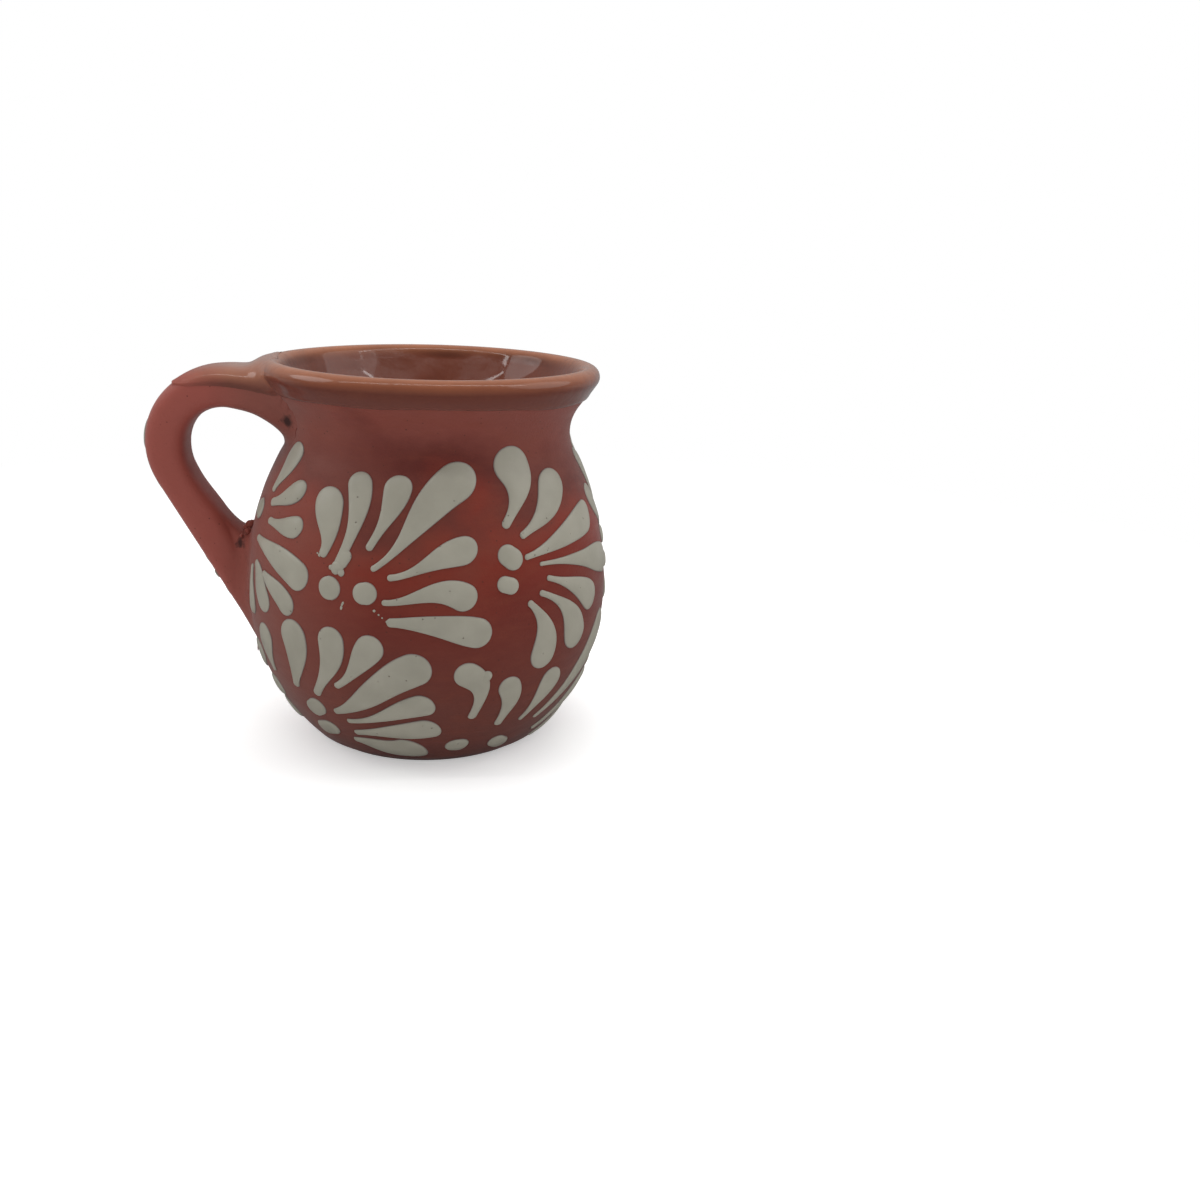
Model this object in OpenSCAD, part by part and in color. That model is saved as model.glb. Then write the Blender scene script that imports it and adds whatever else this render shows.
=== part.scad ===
// Jarrito clay mug: a round pot with a stuck-on strap handle, a glazed
// inside and rim, and raised white slip fans.
//
// Millimetres. The origin is the middle of the foot, Z is up, and the
// handle points along -X. Azimuth 0 faces -Y and grows towards +X.

/* [Pot] */
// Height of the mug over the glazed lip
height = 95; // [84:0.5:110]
// How far the glazed lip stands out from the neck on each side
lip_out = 6.35; // [5.2:0.05:8]
// Radius of the rolled clay lip
lip_roll = 2.3; // [1.8:0.1:2.8]
// Widest part of the belly
belly_d = 90.8; // [80:0.2:106]
// Height of the widest part of the belly
belly_h = 38.5; // [35:0.5:42]
// How far the foot lies in from the belly on each side
foot_in = 16.2; // [13:0.1:19]
// Small rounding of the foot's edge
foot_round = 1.6; // [0.8:0.1:2.4]
// How far the neck draws in from the belly on each side
neck_in = 11.35; // [9.5:0.05:13]
// Depth of the narrowest part of the neck below the top
neck_drop = 15.8; // [14:0.1:18]
// Radius of the hollow curve of the neck
neck_curve = 10.9; // [9:0.1:12]
// Thickness of the clay wall
wall = 3.8; // [3:0.1:5]
// Thickness of the clay floor
floor_t = 5; // [4:0.1:8]

/* [Glaze] */
// Thickness of the glaze coats
glaze = 0.4; // [0.3:0.05:0.6]
// Depth to which the rim was dipped
dip_depth = 7; // [5.5:0.1:8.5]

/* [Handle] */
// How far the handle stands out from the belly
handle_out = 22.2; // [19:0.1:26]
// Depth of the handle's top face below the top
handle_drop = 3; // [2:0.1:5]
// Thickness of the strap, from outer to inner face
strap_t = 9.6; // [8:0.1:11]
// Width of the strap at the top bend
strap_w = 17.5; // [14:0.1:20]
// Width of the strap down the straight leg
leg_w = 13.6; // [11:0.1:16]
// Radius of the top bend at the middle of the strap
bend_r = 14.2; // [12.5:0.1:16]
// Slope of the top arm down to the neck, in degrees
arm_slope = 9; // [4:0.5:14]
// Height at which the leg's middle ends inside the pot
leg_end_h = 24; // [20:0.5:30]
// How far inside the belly's width the leg's middle ends
leg_depth = 7.24; // [6:0.02:9]
// Thickness that the arm gains where it meets the neck
arm_flare_t = 5; // [2:0.1:6]
// Width that the arm gains where it meets the lip
arm_flare_w = 7; // [3:0.1:9]
// Width that the leg gains where it runs out on the belly
leg_flare_w = 5; // [2:0.1:7]
// Length over which either end widens
flare_run = 16; // [12:0.5:22]

/* [Joints] */
// How far the joining slip climbs the strap
bead_h = 1.3; // [0.8:0.1:1.8]
// How far the joining slip spreads from the strap
bead_w = 1.5; // [0.9:0.1:2]
// How many times fuller the bead is in the angle under the strap
crotch_fill = 2.6; // [1:0.1:3]

/* [Slip ornament] */
// How far the white slip stands off the clay
slip_h = 0.7; // [0.5:0.05:1]
// Length of a long petal, from its fan's focus
petal_reach = 34; // [31:0.2:36]
// Width of a full petal at its round head
petal_w = 7; // [6:0.1:7.4]
// Width of a petal's tail
tail_w = 1.6; // [1.2:0.1:2]
// Width of a round dot
dot_d = 5; // [4:0.1:5.6]
// Length of the longest stroke on the handle
stroke_l = 12; // [10:0.2:13]

/* [Hidden] */
$fn = 180;

clay_colour = "#8f3d2c";
joint_colour = "#84382a";
glaze_colour = "#a9592f";
inside_colour = "#6f2f1f";
slip_colour = "#c9c5b4";

// Overrun of a cut past the face that it cuts
over = 1;

// The pot's outline is four arcs that run into each other: the bowl below
// the belly, the shoulder above it, the hollow neck, and the rolled lip.
foot_d = belly_d - 2 * foot_in;
neck_d = belly_d - 2 * neck_in;
neck_h = height - neck_drop;
lip_d = neck_d + 2 * lip_out;
dip_h = height - dip_depth;
handle_reach = belly_d / 2 + handle_out;
handle_top = height - handle_drop;
belly_r = belly_d / 2;
foot_r = foot_d / 2;
neck_r = neck_d / 2;

// The bowl arc is level at the belly and passes through the foot's edge.
bowl_x = (foot_r^2 + belly_h^2 - belly_r^2) / (2 * (foot_r - belly_r));
bowl_r = belly_r - bowl_x;

// The shoulder arc is level at the belly and touches the neck's arc.
neck_x = neck_r + neck_curve;
lift = neck_h - belly_h;
touch_x = belly_r + neck_curve;
shoulder_x = (neck_x + touch_x) / 2 - lift^2 / (2 * (touch_x - neck_x));
shoulder_r = belly_r - shoulder_x;
touch_angle = atan2(lift, neck_x - shoulder_x);

// The lip's roll, and the straight flare that joins it to the neck.
lip_x = lip_d / 2 - glaze - lip_roll;
lip_h = height - glaze - lip_roll;
flare_len = norm([lip_x - neck_x, lip_h - neck_h]);
flare_angle = atan2(lip_h - neck_h, lip_x - neck_x);
outer_turn = flare_angle + acos((neck_curve + lip_roll) / flare_len);
inner_turn = flare_angle + acos((neck_curve + wall - lip_roll) / flare_len);

// Arc lengths from the belly down to the foot and up to the neck's arc.
bowl_run = bowl_r * asin(belly_h / bowl_r) * PI / 180;
shoulder_run = shoulder_r * touch_angle * PI / 180;

// Height on the axis of the line from shoulder centre to neck centre.
axis_h = belly_h - shoulder_x * tan(touch_angle);

// A point at a distance and an angle from another point, in a plane.
function polar(centre, r, angle) = centre + r * [cos(angle), sin(angle)];

// Half of the solid outline, grown by a skin of thickness t.
module outline(t) {
    neck = [neck_x, neck_h];
    lip = [lip_x, lip_h];
    intersection() {
        translate([bowl_x, belly_h]) circle(bowl_r + t);
        square([belly_r + t, belly_h]);
    }
    intersection() {
        translate([shoulder_x, belly_h]) circle(shoulder_r + t);
        polygon([[0, belly_h], [touch_x, belly_h], neck, [0, axis_h]]);
    }
    difference() {
        polygon([
            [0, axis_h], neck, polar(neck, neck_curve - t, outer_turn),
            polar(lip, lip_roll + t, outer_turn + 180), lip, [0, lip_h]
        ]);
        translate(neck) circle(neck_curve - t);
    }
    translate([0, lip_h]) square([lip_x, lip_roll + t]);
    translate(lip) circle(lip_roll + t);
}

// Half of the hollow inside the wall, shrunk by a coat of thickness t.
module hollow(t) {
    neck = [neck_x, neck_h];
    lip = [lip_x, lip_h];
    skin = wall + t;
    inner_lip = polar(lip, lip_roll + t, inner_turn);
    intersection() {
        translate([bowl_x, belly_h]) circle(bowl_r - skin);
        translate([0, floor_t + t]) square([belly_r, belly_h - floor_t - t]);
    }
    intersection() {
        translate([shoulder_x, belly_h]) circle(shoulder_r - skin);
        polygon([[0, belly_h], [touch_x, belly_h], neck, [0, axis_h]]);
    }
    difference() {
        polygon([
            [0, axis_h], neck, polar(neck, neck_curve + skin, inner_turn),
            inner_lip, [0, inner_lip.y]
        ]);
        translate(neck) circle(neck_curve + skin);
    }
    difference() {
        translate([0, inner_lip.y]) square([lip_x, height - inner_lip.y + over]);
        translate(lip) circle(lip_roll + t);
    }
}

// The pot filled solid, grown by a skin, for cutting what lies on it.
module envelope(t) {
    rotate_extrude() outline(t);
}

module pot_body() {
    color(clay_colour) rotate_extrude() difference() {
        intersection() {
            outline(0);
            translate([0, foot_round]) union() {
                square([touch_x, height]);
                mirror([0, 1]) square([foot_r - foot_round, foot_round]);
                translate([foot_r - foot_round, 0]) circle(foot_round);
            }
        }
        hollow(0);
    }
}

module inner_glaze() {
    color(inside_colour) rotate_extrude() difference() {
        hollow(0);
        hollow(glaze);
        translate([0, lip_h]) square([touch_x, height]);
    }
}

// The handle's middle line: a sloping arm, one round bend, and a straight
// leg that leaves the bend at a tangent and ends inside the belly.
bend = [
    handle_reach - strap_t / 2 - bend_r,
    handle_top - strap_t / 2 - bend_r
];
leg_end = [belly_r - leg_depth, leg_end_h];
leg_way = leg_end - bend;
leg_lean = -atan2(leg_way.y, leg_way.x) - acos(bend_r / norm(leg_way));
arm_angle = 90 + arm_slope;
arm_top = polar(bend, bend_r, arm_angle);
arm_len = (arm_top.x - neck_r + wall) / cos(arm_slope);
leg_len = sqrt(leg_way * leg_way - bend_r^2);
leg_top = polar(bend, bend_r, -leg_lean);
bend_len = bend_r * (arm_angle + leg_lean) * PI / 180;
strap_len = arm_len + bend_len + leg_len;

// Middle point and facing angle of the strap at a distance from the arm's root.
function strap_point(d) =
    d < arm_len ? arm_top - (arm_len - d) * [cos(arm_slope), sin(arm_slope)] :
    d < arm_len + bend_len ? polar(bend, bend_r, strap_face(d)) :
    leg_top - (d - arm_len - bend_len) * [sin(leg_lean), cos(leg_lean)];
function strap_face(d) =
    arm_angle - min(max(d - arm_len, 0), bend_len) / bend_r * 180 / PI;

// How far into each end's widening a point is, 0 outside and 1 at the pot.
arm_skin = arm_len - (arm_top.x - neck_r) / cos(arm_slope);
function eased(x) = x <= 0 ? 0 : x >= 1 ? 1 : x * x * (3 - 2 * x);
function arm_flare(d) = eased((arm_skin + flare_run - d) / flare_run);
function leg_flare(d) = eased((d - strap_len + flare_run) / flare_run);
function leg_share(d) = eased((d - arm_len) / bend_len);
leg_thin_share = 0.86;

function half_t(d) = (strap_t * (1 - (1 - leg_thin_share) * leg_flare(d))
    + arm_flare_t * arm_flare(d)) / 2;
function half_w(d) = (strap_w + (leg_w - strap_w) * leg_share(d)
    + arm_flare_w * arm_flare(d) + leg_flare_w * leg_flare(d)) / 2;

// A point of the strap's skin: its cross-section is a rounded oval, flatter
// than an ellipse, and angle 0 is the middle of the outer face.
section_sides = 24;
flatness = 0.84;
function bulge(x) = sign(x) * abs(x)^flatness;
function strap_skin(d, a, grow) =
    let (
        p = strap_point(d) + (half_t(d) + grow) * bulge(cos(a))
            * [cos(strap_face(d)), sin(strap_face(d))]
    )
    [-p.x, (half_w(d) + grow) * bulge(sin(a)), p.y];

// Faces of a closed ring or tube of points laid out in rows of one length.
function quad(a, b, c, d) = [[a, b, c], [a, c, d]];
function tube_faces(rows, sides, closed) = [
    for (k = [0 : rows - (closed ? 1 : 2)], i = [0 : sides - 1])
        let (
            j = (i + 1) % sides,
            a = k * sides,
            b = (k + 1) % rows * sides
        )
        each quad(a + i, a + j, b + j, b + i)
];

rings = 32;
module strap(grow) {
    points = [
        for (k = [0 : rings], i = [0 : section_sides - 1])
            strap_skin(strap_len * k / rings, -360 * i / section_sides, grow)
    ];
    first = [for (i = [section_sides - 1 : -1 : 0]) i];
    last = [for (i = [0 : section_sides - 1]) rings * section_sides + i];
    polyhedron(
        points,
        concat([first], tube_faces(rings + 1, section_sides, false), [last])
    );
}

module handle() {
    color(clay_colour) difference() {
        strap(0);
        envelope(0);
    }
}

// Distance of a point outside the clay, and the clay's outward normal there
// as [distance, out, up].
flare_from = polar([neck_x, neck_h], neck_curve, outer_turn);
flare_way = [cos(outer_turn - 90), sin(outer_turn - 90)];
flare_run_up = sqrt(flare_len^2 - (neck_curve + lip_roll)^2);
function round_face(q, centre, r) =
    let (v = q - centre) [norm(v) - r, v.x / norm(v), v.y / norm(v)];
function hollow_face(q, centre, r) =
    let (v = centre - q) [r - norm(v), v.x / norm(v), v.y / norm(v)];
function flat_face(q) =
    let (n = -[cos(outer_turn), sin(outer_turn)]) [(q - flare_from) * n, n.x, n.y];
function clay_face(p) =
    let (
        q = [norm([p.x, p.y]), p.z],
        along = (q - flare_from) * flare_way
    )
    q.y < belly_h ? round_face(q, [bowl_x, belly_h], bowl_r) :
    atan2(q.y - belly_h, q.x - shoulder_x) < touch_angle
        ? round_face(q, [shoulder_x, belly_h], shoulder_r) :
    along < 0 ? hollow_face(q, [neck_x, neck_h], neck_curve) :
    along < flare_run_up ? flat_face(q) :
    round_face(q, [lip_x, lip_h], lip_roll);
function clay_normal(p) =
    let (f = clay_face(p), r = norm([p.x, p.y]))
    [f[1] * p.x / r, f[1] * p.y / r, f[2]];

// Distance along the strap at which its skin leaves the clay, by halving.
halvings = 16;
function leaves(a, inside, outside, n = halvings) =
    let (d = (inside + outside) / 2)
    n == 0 ? d :
    clay_face(strap_skin(d, a, 0))[0] < 0 ? leaves(a, d, outside, n - 1) :
    leaves(a, inside, d, n - 1);

// One section of a joint's bead: the corner, a place up the strap, the
// hollow middle of the bead, and a place out on the clay.
hollow_share = 0.35;
function bead(a, inside, outside) =
    let (
        d = leaves(a, inside, outside),
        fill = 1 + (crotch_fill - 1) * eased(-cos(a)),
        corner = strap_skin(d, a, 0),
        up = strap_skin(d + sign(outside - inside) * fill * bead_h, a, 0),
        mid = strap_point(d),
        away = corner - [-mid.x, 0, mid.y],
        n = clay_normal(corner),
        flat = away - (away * n) * n,
        q = corner + fill * bead_w * flat / norm(flat),
        out = q - clay_face(q)[0] * clay_normal(q),
        middle = (up + out) / 2
    )
    [corner, up, middle + hollow_share * (corner - middle), out];

// A bead of joining slip round one root of the handle.
module joint(inside, outside) {
    turn = sign(inside - outside);
    points = [
        for (i = [0 : section_sides - 1])
            each bead(turn * 360 * i / section_sides, inside, outside)
    ];
    color(joint_colour)
        polyhedron(points, tube_faces(section_sides, len(points) / section_sides, true));
}
module upper_joint() {
    joint(0, arm_len + bend_len / 4);
}
module lower_joint() {
    joint(strap_len, arm_len + bend_len / 2);
}

// The sector round the arm's root, with its bead, where the arm breaks the
// rim's glaze: half its width, and how far it turns up round the lip's roll.
break_half = asin((half_w(arm_skin) + bead_w) / lip_x);
break_turn = (bead_w + glaze) / lip_roll * 180 / PI;
module arm_break() {
    lip = [lip_x, lip_h];
    rotate([0, 0, 180 - break_half])
        rotate_extrude(angle = 2 * break_half)
            polygon([
                lip, polar(lip, 2 * lip_roll, break_turn),
                [touch_x, neck_h], [neck_r, neck_h]
            ]);
}
module rim_glaze() {
    color(glaze_colour) difference() {
        rotate_extrude() difference() {
            intersection() {
                outline(glaze);
                translate([0, dip_h]) square([touch_x, height - dip_h]);
            }
            intersection() {
                outline(0);
                square([touch_x, lip_h]);
            }
            difference() {
                outline(0);
                hollow(0);
            }
            hollow(glaze);
        }
        arm_break();
    }
}

// The glaze on the strap reaches round from its outer face to the height of
// the dip line on either side, and ends where the outer face is that low.
glaze_cols = 12;
glaze_rows = 12;
glaze_tip = 15;
coat_from = leaves(0, 0, arm_len + bend_len / 4) + bead_h;
coat_to = arm_len + bend_r * (arm_angle
    - asin((dip_h - bend.y) / (bend_r + strap_t / 2))) * PI / 180;
function dip_angle(d) =
    let (
        x = (dip_h - strap_point(d).y) / (half_t(d) * sin(strap_face(d))),
        c = sign(x) * min(abs(x), 1)^(1 / flatness)
    )
    max(acos(c), glaze_tip);
module handle_glaze() {
    sides = 2 * glaze_cols + 2;
    points = [
        for (k = [0 : glaze_rows])
            let (
                d = coat_from + (coat_to - coat_from) * k / glaze_rows,
                top = dip_angle(d)
            )
            each concat(
                [for (i = [0 : glaze_cols]) strap_skin(d, top * (1 - 2 * i / glaze_cols), glaze)],
                [for (i = [glaze_cols : -1 : 0]) strap_skin(d, top * (1 - 2 * i / glaze_cols), 0)]
            )
    ];
    start = [
        for (i = [0 : glaze_cols - 1])
            each quad(i + 1, i, sides - 1 - i, sides - 2 - i)
    ];
    last = glaze_rows * sides;
    finish = [for (f = start) [last + f[2], last + f[1], last + f[0]]];
    color(glaze_colour)
        polyhedron(points, concat(start, tube_faces(glaze_rows + 1, sides, false), finish));
}

// Radius and height of the clay at a distance s along its outline, counted
// up from the belly, and the slope angle of its outward normal there.
function clay_angle(s) =
    s < 0 ? s / bowl_r * 180 / PI :
    s < shoulder_run ? s / shoulder_r * 180 / PI :
    touch_angle - (s - shoulder_run) / neck_curve * 180 / PI;
function clay(s) =
    s < 0 ? polar([bowl_x, belly_h], bowl_r, clay_angle(s)) :
    s < shoulder_run ? polar([shoulder_x, belly_h], shoulder_r, clay_angle(s)) :
    polar([neck_x, neck_h], neck_curve, clay_angle(s) + 180);
function around(az, s) =
    [clay(s).x * sin(az), -clay(s).x * cos(az), clay(s).y];
function outward(az, s) = [
    cos(clay_angle(s)) * sin(az), -cos(clay_angle(s)) * cos(az), sin(clay_angle(s))
];

// Slip that would run over the foot's edge crowds together above it.
crowd = 3;
crowd_from = 2 * crowd - bowl_run;
function above_foot(s) =
    s > crowd_from ? s : crowd_from - crowd * (1 - exp((s - crowd_from) / crowd));

// A place at height h over the clay, at q = [round the pot, up the pot] from
// a focus [azimuth, s].
function on_pot(focus, q, h) =
    let (
        s = above_foot(focus[1] + q.y),
        az = focus[0] + q.x / clay(s).x * 180 / PI
    )
    around(az, s) + h * outward(az, s);
function from_up(angle, r) = r * [sin(angle), cos(angle)];

// A raised stroke of slip. Its rows hold a place along the stroke, the half
// width there and the height of its crown, and its tips lie on the clay.
// place(x, y, h) puts a point of the stroke on what carries it.
dome_shares = [[-1, 0], [-0.68, 0.74], [0, 1], [0.68, 0.74], [1, 0]];
module stroke(rows, tips, place) {
    top = len(dome_shares);
    sides = top + 1;
    end = 1 + len(rows) * sides;
    points = concat(
        [place(tips[0], 0, 0)],
        [
            for (row = rows) each concat(
                [for (c = dome_shares) place(row[0], c[0] * row[1], c[1] * row[2])],
                [place(row[0], 0, 0)]
            )
        ],
        [place(tips[1], 0, 0)]
    );
    body = tube_faces(len(rows), sides, false);
    caps = [
        for (i = [0 : sides - 1])
            let (j = (i + 1) % sides)
            each [[0, 1 + j, 1 + i], [end, end - sides + i, end - sides + j]]
    ];
    polyhedron(points, concat([for (f = body) [f[0] + 1, f[1] + 1, f[2] + 1]], caps));
}

// A petal swells from a thin tail to a round head, and bows to its left.
flank_steps = 5;
head_turns = [38, 68];
tail_rise_share = 0.55;
function swell(head, tail, u) = tail + (head - tail) * eased(u);
function crown(w, head) = slip_h * (tail_rise_share + (1 - tail_rise_share) * w / head);
function petal_rows(l, head, tail) = concat(
    [
        for (k = [0 : flank_steps])
            let (u = k / flank_steps, w = swell(head, tail, u))
            [l * u, w, crown(w, head)]
    ],
    [
        for (a = head_turns)
            [l + head * sin(a), head * cos(a), crown(head * cos(a), head)]
    ]
);
function bowed(l, bow, x, y) =
    let (
        u = min(max(x / l, 0), 1),
        way = [l, 4 * bow * (1 - 2 * u)] / norm([l, 4 * bow * (1 - 2 * u)])
    )
    [l * u, 4 * bow * u * (1 - u)] + (x - l * u) * way + y * [-way.y, way.x];
module petal(l, width, bow, place) {
    stroke(
        petal_rows(l, width / 2, tail_w / 2), [-tail_w / 2, l + width / 2],
        function (x, y, h)
            let (q = bowed(l, bow * l, x, y)) place(q.x, q.y, h)
    );
}

// A dot is a round drop, stretched sideways.
dot_turns = [-60, -25, 25, 60];
module dot(width, stretch, place) {
    r = width / 2;
    stroke(
        [for (a = dot_turns) [r * sin(a), r * stretch * cos(a), crown(r * cos(a), r)]],
        [-r, r], place
    );
}

// A fan of petals and dots about a focus. Each petal's row holds its head's
// direction and reach, its tail's direction and reach, its width and its bow.
// Each dot's row holds its direction, reach, width and stretch. Directions
// are in degrees from up, reaches are shares of petal_reach, widths are shares
// of petal_w or dot_d, and a bow is a share of the petal's length.
module fan(focus, petal_shares, dot_shares, hand = 1) {
    run = focus[1] < 0 ? bowl_run : shoulder_run;
    centre = [focus[0], focus[1] * run];
    color(slip_colour) {
        for (p = petal_shares) {
            head = from_up(hand * p[0], p[1] * petal_reach);
            tail = from_up(hand * p[2], p[3] * petal_reach);
            l = norm(head - tail);
            x_way = (head - tail) / l;
            y_way = [-x_way.y, x_way.x];
            petal(l, p[4] * petal_w, hand * p[5],
                function (x, y, h) on_pot(centre, tail + x * x_way + y * y_way, h));
        }
        for (d = dot_shares) {
            at = from_up(hand * d[0], d[1] * petal_reach);
            dot(d[2] * dot_d, d[3],
                function (x, y, h) on_pot(centre, at + [-y, x], h));
        }
    }
}

// Each fan's focus is its azimuth and its share of the run from the belly
// down to the foot (below 0) or up to the neck (above 0).
centre_petal_shares = [
    [-27, 0.66, -55, 0.38, 0.8, 0],
    [-7, 0.71, -56, 0.27, 0.8, -0.06],
    [14, 0.73, 6, 0.31, 0.84, -0.05],
    [36, 0.94, 21, 0.19, 1.1, -0.04],
    [64, 0.69, 57, 0.22, 0.92, -0.06],
    [90, 0.66, 108, 0.18, 0.92, -0.05],
    [109, 0.8, 132, 0.27, 0.94, 0.02]
];
centre_dot_shares = [[-87, 0.235, 0.95, 1], [67, 0.01, 1.05, 1.1]];

right_petal_shares = [
    [12, 0.75, -2, 0.33, 1.06, -0.09],
    [43, 0.72, 24, 0.28, 0.95, -0.08],
    [69, 0.78, 53, 0.17, 0.95, -0.05],
    [93, 0.98, 76, 0.18, 1.06, 0],
    [111, 0.79, 103, 0.3, 0.8, 0.12],
    [135, 0.8, 125, 0.31, 0.78, 0.12],
    [158, 0.7, 148, 0.26, 0.84, 0.12]
];
right_dot_shares = [[0, 0.09, 1.12, 1], [-157, 0.12, 0.92, 1]];

low_left_petal_shares = [
    [-43, 0.76, -58, 0.56, 0.84, 0.05],
    [-12, 0.69, -37, 0.33, 0.86, 0.02],
    [16, 0.73, -1, 0.25, 0.84, -0.1],
    [35, 0.83, 31, 0.4, 0.88, -0.1],
    [56, 0.95, 46, 0.13, 1.15, -0.03],
    [72, 0.8, 76, 0.22, 0.86, -0.06],
    [90, 0.77, 108, 0.23, 0.84, -0.03],
    [110, 0.66, 136, 0.25, 0.76, 0.03]
];
low_left_dot_shares = [[-50, 0.12, 0.85, 1.1], [-164, 0.14, 0.82, 1.3]];

low_right_petal_shares = [
    [-17, 0.74, -25, 0.38, 0.84, 0.14],
    [10, 0.6, 12, 0.27, 0.78, 0.12],
    [37, 0.74, 48, 0.36, 0.74, -0.04],
    [55, 1.42, 64, 0.42, 0.86, -0.05],
    [70, 1.1, 84, 0.45, 0.76, -0.05],
    [88, 0.95, 104, 0.5, 0.66, 0]
];
low_right_dot_shares = [[-73, 0.22, 0.96, 1.15], [71, 0.12, 0.96, 1.15]];

handle_petal_shares = [
    [24, 0.66, 34, 0.33, 0.84, 0],
    [53, 0.62, 57, 0.35, 0.76, -0.04],
    [82, 0.63, 72, 0.32, 0.84, 0.06],
    [107, 0.77, 107, 0.24, 1.04, 0.03],
    [127, 0.75, 124, 0.46, 0.7, 0.03],
    [146, 0.66, 137, 0.36, 0.68, 0],
    [168, 0.62, 160, 0.32, 0.56, 0]
];
handle_dot_shares = [[34, 0.12, 0.8, 0.9]];

beside_petal_shares = [
    [20, 1, -20, 0.25, 1.1, 0],
    [37, 0.61, 27, 0.24, 0.95, 0],
    [66, 0.58, 67, 0.17, 0.98, -0.04],
    [98, 0.6, 105, 0.2, 0.92, 0.1]
];
beside_dot_shares = [[0, 0, 1.1, 1.2]];

far_petal_shares = [
    [25, 0.77, 10, 0.35, 1, 0],
    [50, 0.8, 27, 0.31, 0.94, -0.05],
    [71, 0.77, 34, 0.21, 0.96, -0.04],
    [96, 0.95, 66, 0.2, 1, 0.08],
    [114, 0.68, 105, 0.3, 0.8, 0.1],
    [136, 0.8, 133, 0.24, 0.8, 0.12],
    [159, 0.74, 158, 0.28, 0.88, 0.12]
];
far_dot_shares = [[0, 0, 1.15, 1.1]];

far_low_petal_shares = [
    [-9, 0.62, -34, 0.34, 0.96, -0.1],
    [17, 0.6, -2, 0.24, 0.82, -0.08],
    [41, 0.68, 44, 0.28, 0.8, -0.04],
    [54, 1.05, 58, 0.3, 0.86, -0.04],
    [70, 0.86, 80, 0.31, 0.76, -0.03],
    [89, 0.66, 102, 0.34, 0.62, 0]
];
far_low_dot_shares = [[0, 0, 1.05, 1.3]];

side_petal_shares = [
    [-140, 0.42, -140, 0.2, 0.66, 0.06],
    [-102, 0.36, -102, 0.17, 0.66, 0.06],
    [-66, 0.38, -60, 0.18, 0.7, 0.05],
    [-43, 0.66, -42, 0.22, 0.86, 0.04],
    [-20, 0.79, -24, 0.27, 0.94, 0.02],
    [0, 0.86, 0, 0.4, 0.96, 0],
    [20, 0.79, 24, 0.27, 0.94, -0.02],
    [43, 0.66, 42, 0.22, 0.86, -0.04],
    [66, 0.38, 60, 0.18, 0.7, -0.05],
    [102, 0.36, 102, 0.17, 0.66, -0.06],
    [140, 0.42, 140, 0.2, 0.66, -0.06]
];
side_dot_shares = [[0, 0, 1.05, 1], [0, 0.24, 0.8, 1]];

side_low_petal_shares = [
    [-41, 0.48, -50, 0.2, 0.72, 0.04],
    [-19, 0.66, -24, 0.24, 0.82, 0.03],
    [0, 0.74, 0, 0.24, 0.86, 0],
    [19, 0.66, 24, 0.24, 0.82, -0.03],
    [41, 0.48, 50, 0.2, 0.72, -0.04]
];
side_low_dot_shares = [[0, 0, 1.05, 1.2]];

under_petal_shares = [
    [-92, 0.42, -96, 0.18, 0.74, -0.04],
    [-66, 0.5, -62, 0.2, 0.78, 0.04],
    [-40, 0.62, -30, 0.24, 0.8, 0.06],
    [44, 0.66, 30, 0.24, 0.82, -0.04],
    [68, 0.58, 60, 0.22, 0.8, -0.04],
    [94, 0.47, 92, 0.18, 0.74, 0.04]
];
under_dot_shares = [[0, 0.06, 0.95, 1.1]];

module fan_front_centre() {
    fan([-19, 0.25], centre_petal_shares, centre_dot_shares);
}
module fan_front_right() {
    fan([25, 0.37], right_petal_shares, right_dot_shares);
}
module fan_front_low_left() {
    fan([-37.5, -0.61], low_left_petal_shares, low_left_dot_shares);
}
module fan_front_low_right() {
    fan([21.5, -0.82], low_right_petal_shares, low_right_dot_shares);
}
module fan_handle_front() {
    fan([-74.7, 0.5], handle_petal_shares, handle_dot_shares);
}
module fan_handle_back() {
    fan([-111, 0.05], beside_petal_shares, beside_dot_shares, -1);
}
module fan_far_centre() {
    fan([-139, 0.45], far_petal_shares, far_dot_shares, -1);
}
module fan_far_side() {
    fan([-194, 0.38], right_petal_shares, right_dot_shares, -1);
}
module fan_far_low() {
    fan([-132.5, -0.77], far_low_petal_shares, far_low_dot_shares, -1);
}
module fan_far_low_side() {
    fan([-190.5, -0.82], low_right_petal_shares, low_right_dot_shares, -1);
}
module fan_side_high() {
    fan([97.5, 0.25], side_petal_shares, side_dot_shares);
}
module fan_side_low() {
    fan([97.5, -0.78], side_low_petal_shares, side_low_dot_shares);
}
module fan_under_handle() {
    fan([-92, -0.7], under_petal_shares, under_dot_shares);
}

// Strokes down the handle's outer face. Each row holds the tail's place along
// the strap as a share of it, its place across as a share of the half width,
// the stroke's length as a share of stroke_l, its width as a share of
// petal_w, its bow, and its direction in degrees from across to up.
stroke_shares = [
    [0.46, -0.95, 0.98, 0.82, 0.16, 33],
    [0.565, -0.8, 0.86, 0.78, 0.16, 42],
    [0.68, -0.5, 0.6, 0.7, 0.04, 44],
    [0.765, -0.3, 0.68, 0.66, 0.04, 40],
    [0.845, -0.3, 0.6, 0.62, 0.04, 24]
];
spot_shares = [[0.77, 0.92, 0.46, 0.62]];

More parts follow.
